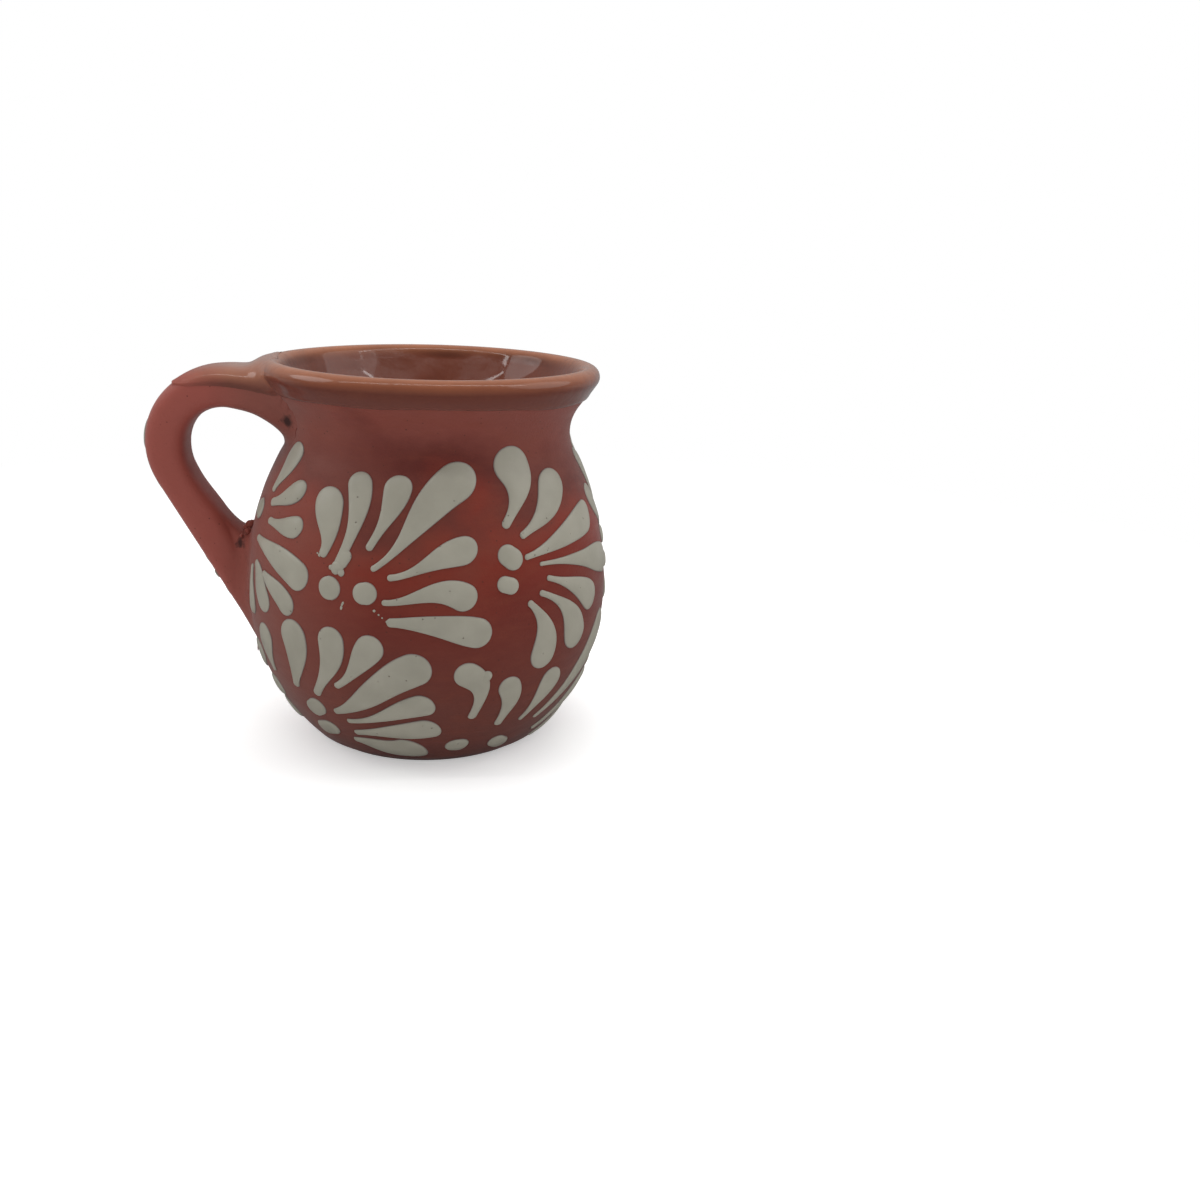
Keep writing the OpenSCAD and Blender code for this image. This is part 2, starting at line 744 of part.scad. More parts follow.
// A place at height h on the outer face, at q = [across, up] from a place
// [along the strap, across it].
function on_strap(from, q, h) =
    let (
        d = from[0] - q.y,
        y = -(from[1] + q.x) / half_w(d),
        a = asin(sign(y) * min(abs(y), 1)^(1 / flatness))
    )
    strap_skin(d, a, h);
module handle_strokes() {
    color(slip_colour) {
        for (s = stroke_shares) {
            from = [s[0] * strap_len, s[1] * half_w(s[0] * strap_len)];
            x_way = [cos(s[5]), sin(s[5])];
            y_way = [-x_way.y, x_way.x];
            petal(s[2] * stroke_l, s[3] * petal_w, s[4],
                function (x, y, h) on_strap(from, x * x_way + y * y_way, h));
        }
        for (s = spot_shares) {
            from = [s[0] * strap_len, s[1] * half_w(s[0] * strap_len)];
            dot(s[2] * dot_d, s[3],
                function (x, y, h) on_strap(from, [-y, x], h));
        }
    }
}

pot_body();
handle();
upper_joint();
lower_joint();
inner_glaze();
rim_glaze();
handle_glaze();
fan_front_centre();
fan_front_right();
fan_front_low_left();
fan_front_low_right();
fan_handle_front();
fan_handle_back();
fan_far_centre();
fan_far_side();
fan_far_low();
fan_far_low_side();
fan_side_high();
fan_side_low();
fan_under_handle();
handle_strokes();
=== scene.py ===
# %% [markdown]
# A jarrito is a round clay mug, thrown on a wheel. The potter burnishes the red
# clay, sticks on a pulled strap for a handle, trails fans of white slip with a
# nozzle, and dips the rim in clear glaze. This lesson dresses the measured mug:
# every skin is a surface worked out on a grid of two parameters, in metres,
# with the middle of the foot at the origin, Z up and the handle along -X.

# %% Load the measured mug
import math
import bpy
import numpy as np
from mathutils import Matrix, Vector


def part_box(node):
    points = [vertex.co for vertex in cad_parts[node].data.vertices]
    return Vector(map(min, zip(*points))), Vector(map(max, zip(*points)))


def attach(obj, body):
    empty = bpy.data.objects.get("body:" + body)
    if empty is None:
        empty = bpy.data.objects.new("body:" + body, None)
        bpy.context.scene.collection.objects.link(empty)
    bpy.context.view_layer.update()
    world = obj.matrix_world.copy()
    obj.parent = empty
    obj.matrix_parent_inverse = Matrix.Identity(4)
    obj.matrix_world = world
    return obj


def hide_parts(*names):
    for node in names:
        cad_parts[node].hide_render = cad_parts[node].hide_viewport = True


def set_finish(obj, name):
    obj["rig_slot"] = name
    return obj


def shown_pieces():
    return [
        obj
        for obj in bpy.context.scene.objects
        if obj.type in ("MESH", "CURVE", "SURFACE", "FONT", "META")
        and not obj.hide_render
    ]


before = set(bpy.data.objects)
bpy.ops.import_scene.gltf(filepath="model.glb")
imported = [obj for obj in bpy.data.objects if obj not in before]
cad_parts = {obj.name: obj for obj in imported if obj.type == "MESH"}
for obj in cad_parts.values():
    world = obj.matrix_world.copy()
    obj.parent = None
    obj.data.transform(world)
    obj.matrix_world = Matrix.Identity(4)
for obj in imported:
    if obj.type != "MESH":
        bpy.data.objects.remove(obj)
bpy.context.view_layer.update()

MM = 0.001

# %% [markdown]
# The pot's outline is a chain of arcs that touch each other: a bowl below the
# belly, a shoulder above it, the hollow neck, a straight flare and the rolled
# lip. A drawn curve would do, but arcs keep the lip truly round, and their
# centres follow from a few sizes that can be read off the measured mug.

# %% The pot's sizes and arc centres
pot_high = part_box("pot_body")[1]
GLAZE_T = 0.4 * MM
WALL = 3.8 * MM
FLOOR_T = 5 * MM
FLOOR_BEND = 9 * MM
FOOT_R = 29.2 * MM
FOOT_ROUND = 1.6 * MM
BELLY_H = 38.5 * MM
NECK_R = 34.05 * MM
NECK_H = 79.2 * MM
NECK_CURVE = 10.9 * MM
LIP_R = 37.7 * MM
LIP_ROLL = 2.3 * MM
belly_r = pot_high.x
lip = np.array([LIP_R, pot_high.z - LIP_ROLL])
bowl_x = (FOOT_R**2 + BELLY_H**2 - belly_r**2) / (2 * (FOOT_R - belly_r))
bowl_r = belly_r - bowl_x
neck = np.array([NECK_R + NECK_CURVE, NECK_H])
touch_x = belly_r + NECK_CURVE
lift = NECK_H - BELLY_H
shoulder_x = (neck[0] + touch_x) / 2 - lift**2 / (2 * (touch_x - neck[0]))
shoulder_r = belly_r - shoulder_x
bowl = np.array([bowl_x, BELLY_H])
shoulder = np.array([shoulder_x, BELLY_H])
touch_angle = math.atan2(lift, neck[0] - shoulder_x)
flare = lip - neck
flare_angle = math.atan2(flare[1], flare[0])
outer_turn = flare_angle + math.acos((NECK_CURVE + LIP_ROLL) / np.hypot(*flare))
inner_turn = flare_angle + math.acos((NECK_CURVE + WALL - LIP_ROLL) / np.hypot(*flare))
print("belly radius", round(belly_r / MM, 1), "lip height", round(lip[1] / MM, 1))


# %% [markdown]
# Points along an outline are wanted close together and evenly spaced, so that
# the grid's cells stay square. Each stretch is drawn finely and the whole chain
# is then resampled by its length.

# %% Arcs, and even steps along a chain
def arc(centre, radius, start, stop, count=60):
    """Points at a radius from a centre, with the angle running evenly from start to stop."""
    angle = np.linspace(start, stop, count)
    return centre + radius * np.stack([np.cos(angle), np.sin(angle)], 1)


def even_steps(chain, step):
    """The chain's points again, about a step apart, at even lengths along it."""
    gaps = np.hypot(*np.diff(chain, axis=0).T)
    along = np.concatenate([[0], np.cumsum(gaps)])
    places = np.linspace(0, along[-1], round(along[-1] / step) + 1)
    return np.stack([np.interp(places, along, column) for column in chain.T], 1)


def smooth(x, start=0, run=1):
    """0 up to the start, 1 past the run, and 3u^2 - 2u^3 between, where u = (x - start) / run."""
    u = np.clip((x - start) / run, 0, 1)
    return u * u * (3 - 2 * u)


# %% [markdown]
# Every skin of the pot, of its glaze and of the slip is a place on this one
# chain, turned about Z and lifted off along the normal. So the chain is walked
# by length: from the foot, over the belly and the lip, and down to the floor.
# The floor's corner is rounded by a curve of the second degree, which runs from
# the end of the wall to the floor.

# %% Walk along the clay's outline
FOOT_RING = 2 * MM
LAST_RING = 1.2 * MM
CHAIN_STEP = 0.2 * MM
bowl_in = bowl_r - WALL
wall_turn = math.asin((FLOOR_T + FLOOR_BEND - BELLY_H) / bowl_in)
wall_end = bowl + bowl_in * np.array([math.cos(wall_turn), math.sin(wall_turn)])
corner = np.array([bowl_x + math.sqrt(bowl_in**2 - (FLOOR_T - BELLY_H)**2), FLOOR_T])
floor_end = corner - [FLOOR_BEND, 0]
share = np.linspace(0, 1, 30)[:, None]
clay_chain = even_steps(np.concatenate([
    [[FOOT_R - FOOT_ROUND - FOOT_RING, 0]],
    arc(np.array([FOOT_R - FOOT_ROUND, FOOT_ROUND]), FOOT_ROUND, -math.pi / 2, -0.35, 12),
    arc(bowl, bowl_r, math.asin((FOOT_ROUND - BELLY_H) / bowl_r), 0),
    arc(shoulder, shoulder_r, 0, touch_angle),
    arc(neck, NECK_CURVE, touch_angle + math.pi, outer_turn, 40),
    arc(lip, LIP_ROLL, outer_turn - math.pi, math.pi / 2),
    arc(lip, LIP_ROLL, math.pi / 2, inner_turn, 40)[1:],
    arc(neck, NECK_CURVE + WALL, inner_turn, touch_angle + math.pi, 40),
    arc(shoulder, shoulder_r - WALL, touch_angle, 0),
    arc(bowl, bowl_in, 0, wall_turn),
    wall_end * (1 - share)**2 + 2 * corner * share * (1 - share) + floor_end * share**2,
    [[LAST_RING, FLOOR_T]],
]), CHAIN_STEP)
chain_steps = np.hypot(*np.diff(clay_chain, axis=0).T)
chain_length = np.concatenate([[0], np.cumsum(chain_steps)])
chain_way = np.gradient(clay_chain, chain_length, axis=0)
chain_way /= np.hypot(*chain_way.T)[:, None]
lip_place = chain_length[np.argmax(clay_chain[:, 1])]
belly_place = chain_length[np.argmax(clay_chain[:, 0])]
END = chain_length[-1]
print("the outline runs", round(END / MM), "mm and tops the lip at", round(lip_place / MM))


def along_clay(s):
    """Radius and height at a length s along the outline, and the outward normal there:
    the outline's direction turned a quarter back."""
    r, z, way_r, way_z = (np.interp(s, chain_length, column)
                          for column in (*clay_chain.T, *chain_way.T))
    return r, z, way_z, -way_r


# %% [markdown]
# A hand-thrown pot is never quite true. It is a little oval, the fingers leave
# soft rings outside and deeper lumps inside, and the rim leans out further at
# the back and on the side away from the handle. The belly only loses clay, so
# that the mug stays inside its measured box.

# %% The marks of the hand
LEAN_FROM = 58 * MM
LEAN_RUN = 37 * MM
OVAL = 0.06 * MM
WAVE = 0.035 * MM
WAVE_TWIST = 40 * MM
RING = 0.02 * MM
RING_RISE = 7.3 * MM
RIDGE = 0.2 * MM
RIDGE_RISE = 11 * MM
LUMP = 0.4 * MM
RIM_DIP = 0.22 * MM
RIM_DIP_RUN = 14 * MM


def lean_out(az, z):
    """How far neck and rim lean out past the true outline: nothing at the belly, most at
    the rim, and there most at the back and on the side away from the handle."""
    round_way = (0.53 - 0.3 * np.cos(az) + 0.65 * np.sin(az) - 0.13 * np.cos(2 * az)
                 + 2.2 * (0.5 - 0.5 * np.cos(az + 0.52))**3)
    return round_way * MM * smooth(z, LEAN_FROM, LEAN_RUN)


def hand_marks(s, az, z):
    """How far the skin lies inside the true outline: outside, slow waves round the pot
    that turn with height and faint finger rings; inside, a spiral ridge and lumps.
    Both fade out towards the lip, and leaning out counts against them."""
    twist = z / WAVE_TWIST
    oval = OVAL * (1 + np.cos(2 * az + 0.3 * twist))
    waves = 1.5 + np.cos(3 * az - 1.3 * twist + 1) + 0.5 * np.cos(7 * az + 2 * twist)
    rings = 1 + np.sin(z * 2 * np.pi / RING_RISE + 0.7 * np.sin(az))
    ridge = np.sin(z * 2 * np.pi / RIDGE_RISE - az + 0.8 * np.sin(2 * az + z / (13 * MM)))
    lumps = np.cos(5 * az + z / (11 * MM)) + 0.7 * np.cos(11 * az - z / (7 * MM) + 0.6)
    below = lip[1] - z
    outer = (WAVE * waves * (1 - np.sin(az)) + RING * rings) * smooth(below, 3 * MM, 16 * MM)
    inner = (RIDGE * ridge + LUMP * lumps) * smooth(below, 1 * MM, 9 * MM)
    return oval + np.where(s < lip_place, outer, inner) - lean_out(az, z)


def rim_dip(az, z):
    """How far the rim sinks below its highest point, which is at the back, going round
    it: two low waves, which fade out down the neck."""
    waves = 1 + 0.7 * np.cos(az) + 0.3 * np.cos(3 * az + 0.4)
    return RIM_DIP * waves * smooth(z, NECK_H, RIM_DIP_RUN)


def clay_skin(s, az, grow=0.0):
    """The place at length s along the outline and azimuth az, lifted off by grow.
    Azimuth 0 faces -Y and grows towards +X. The hand's marks fade out in the middle of
    the floor and at the foot."""
    s, az, grow = np.broadcast_arrays(s, az, grow)
    r, z, out, up = along_clay(s)
    marked = smooth(r, 4 * MM, 12 * MM) * smooth(s, 0, 6 * MM)
    r = r + grow * out - hand_marks(s, az, z) * marked
    z = z + grow * up - rim_dip(az, z)
    return np.stack([r * np.sin(az), -r * np.cos(az), z], -1)


# %% [markdown]
# One helper turns a grid of points into a closed skin: its rows are rings, and
# the first and the last ring close onto a pole. Another joins skins, and a third
# makes a Blender mesh of them. A skin's volume says which way its faces point:
# it comes out below zero when they point inwards.

# %% From a grid to a mesh
def volume(points, faces):
    """Sum of the tetrahedra from the origin to each face's triangles."""
    tris = np.concatenate([faces[:, :3], faces[:, [0, 2, 3]]]) if faces.shape[1] == 4 else faces
    a, b, c = points[tris[:, 0]], points[tris[:, 1]], points[tris[:, 2]]
    return np.einsum("ij,ij->i", a, np.cross(b, c)).sum() / 6


def closed_skin(grid, poles=None):
    """Points, four-cornered faces and three-cornered faces of a grid whose rows are rings.
    The first ring closes onto the first pole and the last onto the second; without poles,
    each closes onto its middle. Faces that point inwards are turned over."""
    rows, cols = grid.shape[:2]
    count = rows * cols
    if poles is None:
        poles = [grid[0].mean(0), grid[-1].mean(0)]
    points = np.concatenate([grid.reshape(-1, 3), poles])
    k, i = np.meshgrid(np.arange(rows - 1), np.arange(cols), indexing="ij")
    j = (i + 1) % cols
    quads = np.stack([k * cols + i, k * cols + j, (k + 1) * cols + j, (k + 1) * cols + i], 2)
    quads = quads.reshape(-1, 4)
    i, j, pole = i[0], j[0], np.full(cols, count)
    last = count - cols
    tris = np.concatenate([np.stack([pole, j, i], 1), np.stack([last + i, last + j, pole + 1], 1)])
    if volume(points, quads) + volume(points, tris) < 0:
        quads, tris = quads[:, ::-1], tris[:, ::-1]
    return points, quads, tris


def join_skins(skins):
    """Points and faces of several skins as those of one: each skin's faces count on from
    the points before it."""
    points, quads, tris = zip(*skins)
    starts = np.cumsum([0] + [len(p) for p in points[:-1]])
    quads, tris = (np.concatenate([part + start for part, start in zip(parts, starts)])
                   for parts in (quads, tris))
    return np.concatenate(points), quads, tris


def make_piece(name, skin, material_slot, attribute=None, values=()):
    """A smooth mesh object from a skin, with a named number at each point if one is given."""
    points, quads, tris = skin
    mesh = bpy.data.meshes.new(name)
    mesh.from_pydata(points.tolist(), [], quads.tolist() + tris.tolist())
    mesh.shade_smooth()
    if attribute:
        layer = mesh.attributes.new(attribute, "FLOAT", "POINT")
        layer.data.foreach_set("value", np.asarray(values, np.float32))
    piece = bpy.data.objects.new(name, mesh)
    bpy.context.scene.collection.objects.link(piece)
    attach(piece, "root")
    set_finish(piece, material_slot)
    space = volume(points, quads) + volume(points, tris)
    print(name, "has", len(quads) + len(tris), "faces and", round(space / MM**3 / 1000, 2), "cm3")
    return piece


# %% [markdown]
# The clay pot is one closed skin: from the middle of the underside out to the
# foot, up the outer face, over the lip, down the inside and in to the middle of
# the floor. The underside is slightly hollow, as a potter trims it, so that the
# mug stands on a ring.

# %% The clay pot
AROUND = 288
POT_STEP = 0.85 * MM
FOOT_HOLLOW = 0.7 * MM
HOLLOW_RUN = 4 * MM
azimuths = np.linspace(0, 2 * np.pi, AROUND, endpoint=False)
ring_in = clay_chain[0, 0] - 1 * MM
under_r = np.linspace(LAST_RING, ring_in, 24)[:, None]
under_z = FOOT_HOLLOW * smooth(ring_in - under_r, 0, HOLLOW_RUN) + 0 * azimuths
underside = np.stack([under_r * np.sin(azimuths), -under_r * np.cos(azimuths), under_z], 2)
pot_s = np.linspace(0, END, round(END / POT_STEP))[:, None]
pot_grid = np.concatenate([underside, clay_skin(pot_s, azimuths)])
pot_poles = [[0, 0, FOOT_HOLLOW], [0, 0, FLOOR_T]]
pot = make_piece("pot", closed_skin(pot_grid, pot_poles), "clay")
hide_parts("pot_body")

# %% [markdown]
# The handle is a pulled strap: it leaves the neck on a sloping arm, turns down
# in one round bend and runs straight into the belly. A curve object with a
# bevel could carry an oval section along such a line, but it couldn't flow out
# onto the pot as wet clay does, so the strap is worked out point by point.

# %% The strap's middle line and section
handle_low, handle_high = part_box("handle")
STRAP_T = 9.6 * MM
STRAP_W = 17.5 * MM
LEG_W = 13.6 * MM
BEND_R = 14.2 * MM
LEG_LEAN = math.radians(28.5)
ARM_SLOPE = math.radians(9)
LEG_END_H = 24 * MM
ARM_FLARE_T = 5 * MM
ARM_FLARE_W = 7 * MM
LEG_FLARE_W = 5 * MM
FLARE_RUN = 16 * MM
LEG_THIN = 0.86
HOLLOW_BELOW = 4 * MM
HOLLOW_SPAN = 7 * MM
HOLLOW_DEEP = 1 * MM
FLATNESS = 0.58
bend = np.array([-handle_low.x, handle_high.z]) - STRAP_T / 2 - BEND_R
arm_angle = math.pi / 2 + ARM_SLOPE
arm_top = bend + BEND_R * np.array([math.cos(arm_angle), math.sin(arm_angle)])
leg_top = bend + BEND_R * np.array([math.cos(LEG_LEAN), -math.sin(LEG_LEAN)])
arm_len = (arm_top[0] - NECK_R + WALL) / math.cos(ARM_SLOPE)
bend_len = BEND_R * (arm_angle + LEG_LEAN)
leg_len = (leg_top[1] - LEG_END_H) / math.cos(LEG_LEAN)
strap_len = arm_len + bend_len + leg_len
arm_skin = arm_len - (arm_top[0] - NECK_R) / math.cos(ARM_SLOPE)


def strap_line(d):
    """The middle of the strap at a length d from its root inside the neck, as distance
    from the pot's axis and height, and the angle that its outer face looks along."""
    face = arm_angle - np.clip(d - arm_len, 0, bend_len) / BEND_R
    round_part = bend + BEND_R * np.stack([np.cos(face), np.sin(face)], -1)
    before = np.minimum(d - arm_len, 0)[..., None]
    after = np.maximum(d - arm_len - bend_len, 0)[..., None]
    line = (round_part + before * [math.cos(ARM_SLOPE), math.sin(ARM_SLOPE)]
            - after * [math.sin(LEG_LEAN), math.cos(LEG_LEAN)])
    return line, face


def near_neck(d):
    """1 where the arm comes out of the neck, 0 past its flare, and 3x^2 - 2x^3 between."""
    return smooth(arm_skin + FLARE_RUN - d, 0, FLARE_RUN)


def strap_halves(d):
    """Half the strap's thickness and half its width at a length d: both swell where the
    arm joins the neck, and the width again where the leg runs out on the belly."""
    arm = near_neck(d)
    leg = smooth(d, strap_len - FLARE_RUN, FLARE_RUN)
    taper = smooth(d, arm_len, bend_len)
    thick = STRAP_T * (1 - (1 - LEG_THIN) * leg) + ARM_FLARE_T * arm
    wide = STRAP_W + (LEG_W - STRAP_W) * taper + ARM_FLARE_W * arm + LEG_FLARE_W * leg
    return thick / 2, wide / 2


def strap_slack(d):
    """How much thinner the strap is on its inner side: the arm keeps clear under its
    flare, and the leg is pulled thinner just below the bend."""
    arm = near_neck(d)
    leg = (d - arm_len - bend_len - HOLLOW_BELOW) / HOLLOW_SPAN
    return ARM_FLARE_T / 2 * arm * (1 - arm**3) + HOLLOW_DEEP * np.exp(-leg**2)


def bulge(x):
    """x to the power of the flatness, with its sign: it turns an ellipse into a fuller oval."""
    return np.sign(x) * np.abs(x) ** FLATNESS


# %% [markdown]
# Wet clay leaves no corner where the strap meets the pot: the potter wipes it
# into a hollow fillet. A point's distance from the clay says how far it has to
# flow outwards: nothing at one fillet radius, a whole radius at the clay, along
# a quarter circle between.

# %% How far a point is from the clay
touch_way = np.array([math.cos(outer_turn), math.sin(outer_turn)])
flare_way = np.array([touch_way[1], -touch_way[0]])
flare_start = neck + NECK_CURVE * touch_way
flare_len = math.sqrt(flare @ flare - (NECK_CURVE + LIP_ROLL)**2)
CIRCLES = [(bowl, bowl_r, 1), (shoulder, shoulder_r, 1), (neck, NECK_CURVE, -1), None,
           (lip, LIP_ROLL, 1)]


def clay_distance(p):
    """Distance of points from the pot's outer face, and the outward normal: from the
    nearest of the bowl's, shoulder's, neck's and lip's circles, or from the straight flare."""
    r, z = np.hypot(p[..., 0], p[..., 1]), p[..., 2]
    q = np.stack([r, z], -1)
    lean = np.arctan2(z - BELLY_H, r - shoulder_x)
    run = (q - flare_start) @ flare_way
    choices = [z < BELLY_H, lean < touch_angle, run < 0, run < flare_len, True]
    distance = np.zeros(r.shape)
    normal = np.zeros(q.shape)
    left = np.ones(r.shape, bool)
    for choice, circle in zip(choices, CIRCLES):
        here = left & choice
        if circle is None:
            distance[here] = (flare_start - q[here]) @ touch_way
            normal[here] = -touch_way
        else:
            centre, radius, side = circle
            v = (q[here] - centre) * side
            length = np.hypot(*v.T)
            distance[here] = side * (length - radius)
            normal[here] = v / length[:, None]
        left &= ~here
    distance += hand_marks(0 * r, np.arctan2(p[..., 0], -p[..., 1]), z)
    way = normal[..., 0] / r
    return distance, np.stack([way * p[..., 0], way * p[..., 1], normal[..., 1]], -1)


# %% [markdown]
# The fillet is not the same all round: it is tight where the arm meets the lip,
# wider under the arm, and widest in the crotch under the leg, where a finger
# wiped it. Once the strap's skin has reached the clay it dives under the
# surface, so that no gap can show.

# %% The strap's skin flows out onto the pot
LIP_FILLET = 4 * MM
NECK_FILLET = 5.5 * MM
CROTCH_FILLET = 9 * MM
SIDE_FILLET = 3.6 * MM
FOOT_FILLET = 3 * MM
SUNK = 1.6 * MM
DIVE = 0.25 * MM
SKIN_DEEP = 0.5 * MM
RUN_ON = 1.2 * MM
JUST_UNDER = 0.05 * MM
MID_WALL = 1.5 * MM
FLOW_STEPS = 5
above_belly = (chain_length > belly_place) & (chain_length < lip_place)
outer_r, outer_z = clay_chain[above_belly].T
outer_s = chain_length[above_belly]


def keep_in_wall(p):
    """Points moved out to the middle of the wall where they would stand in the pot's mouth."""
    r = np.hypot(p[..., 0], p[..., 1])
    grow = np.maximum((np.interp(p[..., 2], outer_z, outer_r) - MID_WALL) / r, 1)
    return p * np.stack([grow, grow, 1 + 0 * r], -1)


def fillet_radius(d, a):
    """The fillet's radius at a length d and an angle a: over the lip, under the arm, in
    the crotch under the leg, or at the leg's foot, blended over the sides."""
    arm = d < arm_len + bend_len / 2
    top = np.where(arm, LIP_FILLET, FOOT_FILLET)
    under = np.where(arm, NECK_FILLET, CROTCH_FILLET)
    side = smooth(np.abs(np.sin(a)) * 1.3 - 0.3)
    return SIDE_FILLET * side + np.where(np.cos(a) > 0, top, under) * (1 - side)


def strap_skin(d, a, grow=0.0):
    """A place on the strap at a length d and an angle a round its section, where angle 0
    is the middle of the outer face. Near the pot it flows along the clay, away from the
    strap, by R - sqrt(R^2 - (R - c)^2), where c is its distance from the clay. The flow is
    walked in short steps at that distance. Once it has reached the clay it runs on just
    under the surface, so that no crease shows, and only then dives."""
    d, a, grow = np.broadcast_arrays(d, a, grow)
    line, face = strap_line(d)
    thick, wide = strap_halves(d)
    half = np.where(np.cos(a) > 0, thick, thick - strap_slack(d))
    out = (half + grow) * bulge(np.cos(a))
    p = np.stack([-line[..., 0] - out * np.cos(face), (wide + grow) * bulge(np.sin(a)),
                  line[..., 1] + out * np.sin(face)], -1)
    middle = np.stack([-line[..., 0], 0 * d, line[..., 1]], -1)
    p = keep_in_wall(p)
    c, normal = clay_distance(p)
    p = p + np.maximum(-SKIN_DEEP - c, 0)[..., None] * normal
    c = np.maximum(c, -SKIN_DEEP)
    radius = fillet_radius(d, a)
    near = np.clip(radius - c + grow, 0, radius)
    under = np.clip((grow - c) / SKIN_DEEP, 0, 1)
    flow = radius - np.sqrt(radius**2 - near**2) + RUN_ON * under
    deep = JUST_UNDER * smooth(3 * under) + np.where(grow == 0, SUNK, DIVE) * under**4
    level = np.where(c < grow, grow - deep, c)
    for k in range(FLOW_STEPS):
        away = p - middle
        away = away - (away * normal).sum(-1, keepdims=True) * normal
        away /= np.linalg.norm(away, axis=-1, keepdims=True) + 1e-9
        p = p + (flow / FLOW_STEPS)[..., None] * away
        now, normal = clay_distance(p)
        p = p - np.where(flow > 0, now - level, 0)[..., None] * normal
    return p


# %% [markdown]
# The rows of the strap's grid are wanted only where it shows, and closer where
# its skin flows out fast. So a coarse trial is measured first: how far the
# point that moves most travels from row to row.

# %% The handle's own grid
STRAP_COLS = 96
STRAP_STEP = 0.4 * MM
angles = -np.linspace(0, 2 * np.pi, STRAP_COLS, endpoint=False)
fine_d = np.linspace(0, strap_len, 1500)
trial = strap_skin(fine_d[:, None], angles[::8])
shown = (clay_distance(trial)[0] > 0).any(1)
fine_d, trial = fine_d[shown], trial[shown]
fine_steps = np.linalg.norm(np.diff(trial, axis=0), axis=2).max(1)
travel = np.concatenate([[0], np.cumsum(fine_steps)])
strap_d = np.interp(np.linspace(0, travel[-1], round(travel[-1] / STRAP_STEP)), travel, fine_d)
print("the strap shows from", round(strap_d[0] / MM, 1), "to", round(strap_d[-1] / MM, 1), "mm")

# %% [markdown]
# Where the fingers pressed the handle on, a few crumbs of clay stayed on the
# joints. Each is a ball that strays a little, and they are one piece with the
# strap.

# %% The handle and its crumbs
CRUMBS = [[-44.0, -3, 53.7, 1.1], [-45.1, -3.2, 53.0, 0.8], [-43.2, -3, 54.3, 0.6],
          [-44.4, -4.8, 52.4, 0.9], [-45.8, -6.0, 51.6, 0.5], [-33.2, -10.5, 80.2, 0.6]]


def clay_crumb(x, y, z, size):
    """A lump at a place, all in millimetres: a ball whose radius strays with two slow
    waves round it."""
    fall = np.linspace(0, np.pi, 15)[1:-1, None]
    turn = np.linspace(0, 2 * np.pi, 24, endpoint=False)
    r = size * (1 + 0.12 * np.sin(2 * turn + x) + 0.1 * np.cos(3 * turn - z) * np.sin(fall))
    ball = np.stack([r * np.sin(fall) * np.cos(turn), r * np.sin(fall) * np.sin(turn),
                     r * np.cos(fall)], 2)
    place = np.array([x, y, z])
    return closed_skin((place + ball) * MM, (place + [[0, 0, size], [0, 0, -size]]) * MM)


strap = closed_skin(strap_skin(strap_d[:, None], angles))
handle = make_piece("strap_handle", join_skins([strap] + [clay_crumb(*row) for row in CRUMBS]), "clay")
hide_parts("handle", "upper_joint", "lower_joint")

# %% [markdown]
# Clear glaze runs over the red clay in one coat: it starts at a wavy line where
# the rim was dipped, climbs over the lip and lines the whole inside. It is a
# closed skin of its own, thin as the real coat, with a pooled bead at its edge.
# Its back lies just inside the clay, where nobody sees it. Each point keeps a
# number, 1 inside and 0 outside, from which the glaze takes its darker tone.

# %% The glaze of the rim and the inside
DIP_H = 88 * MM
COAT_T = GLAZE_T - 0.1 * MM
BACK = 0.15 * MM
COAT_EDGE = 0.7 * MM
BEAD_RUN = 3 * MM
LIP_RUN = 12 * MM
dip_place = np.interp(DIP_H, outer_z, outer_s)


def dip_wave(az):
    """How far the dip line strays: it hangs lower towards the sides, with short ripples."""
    return (-1.6 * np.sin(az + 0.1)**2 + 0.22 * np.sin(5 * az + 0.4)
            + 0.12 * np.sin(11 * az + 2) + 0.2) * MM


def coat(edge_distance, edge):
    """Thickness of the coat by distance from its edge: it rises over the edge's width to a
    pooled bead and settles to its even thickness."""
    bead = 0.3 * np.exp(-((edge_distance - 1.1 * MM) / (0.8 * MM))**2)
    return COAT_T * smooth(edge_distance, 0, edge) * (1 + bead)


past_lip = lip_place + LIP_RUN - dip_place
coat_steps = np.concatenate([np.linspace(0, BEAD_RUN, 22)[:-1],
                             np.linspace(BEAD_RUN, past_lip, 51)[:-1],
                             np.linspace(past_lip, END - dip_place, 98)])[:, None]
start = dip_place + dip_wave(azimuths)
coat_s = start + coat_steps * (END - start) / (END - dip_place)
front = clay_skin(coat_s, azimuths, coat(coat_s - start, COAT_EDGE))
back = clay_skin(coat_s, azimuths, -BACK)
coat_skin = closed_skin(np.concatenate([back[::-1], front]),
                        [[0, 0, FLOOR_T - BACK], [0, 0, FLOOR_T + COAT_T]])
inside = smooth(np.concatenate([coat_s[::-1], coat_s]) - lip_place, 2 * MM, 3 * MM)
glaze_coat = make_piece("glaze_coat", coat_skin, "rim_glaze",
                        "inside", np.concatenate([inside.ravel(), [1, 1]]))
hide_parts("rim_glaze", "inner_glaze")

# %% [markdown]
# The same dip wets the top of the handle down to the same height, so the coat on
# the strap ends wherever its skin is that low: along both flanks of the arm,
# and across the outer face where the bend turns down. Its points keep a number
# too, 0 at the edge and 1 over most of the arm, where the glaze is painted
# lightest, partly its own tone and partly painted light from above.

# %% The glaze on the top of the handle
CAP_TOP = 88.2 * MM
CAP_NECK = 86.5 * MM
CAP_EDGE = 1.1 * MM
ROUND_END = 3 * MM
THINNEST = 0.01 * MM


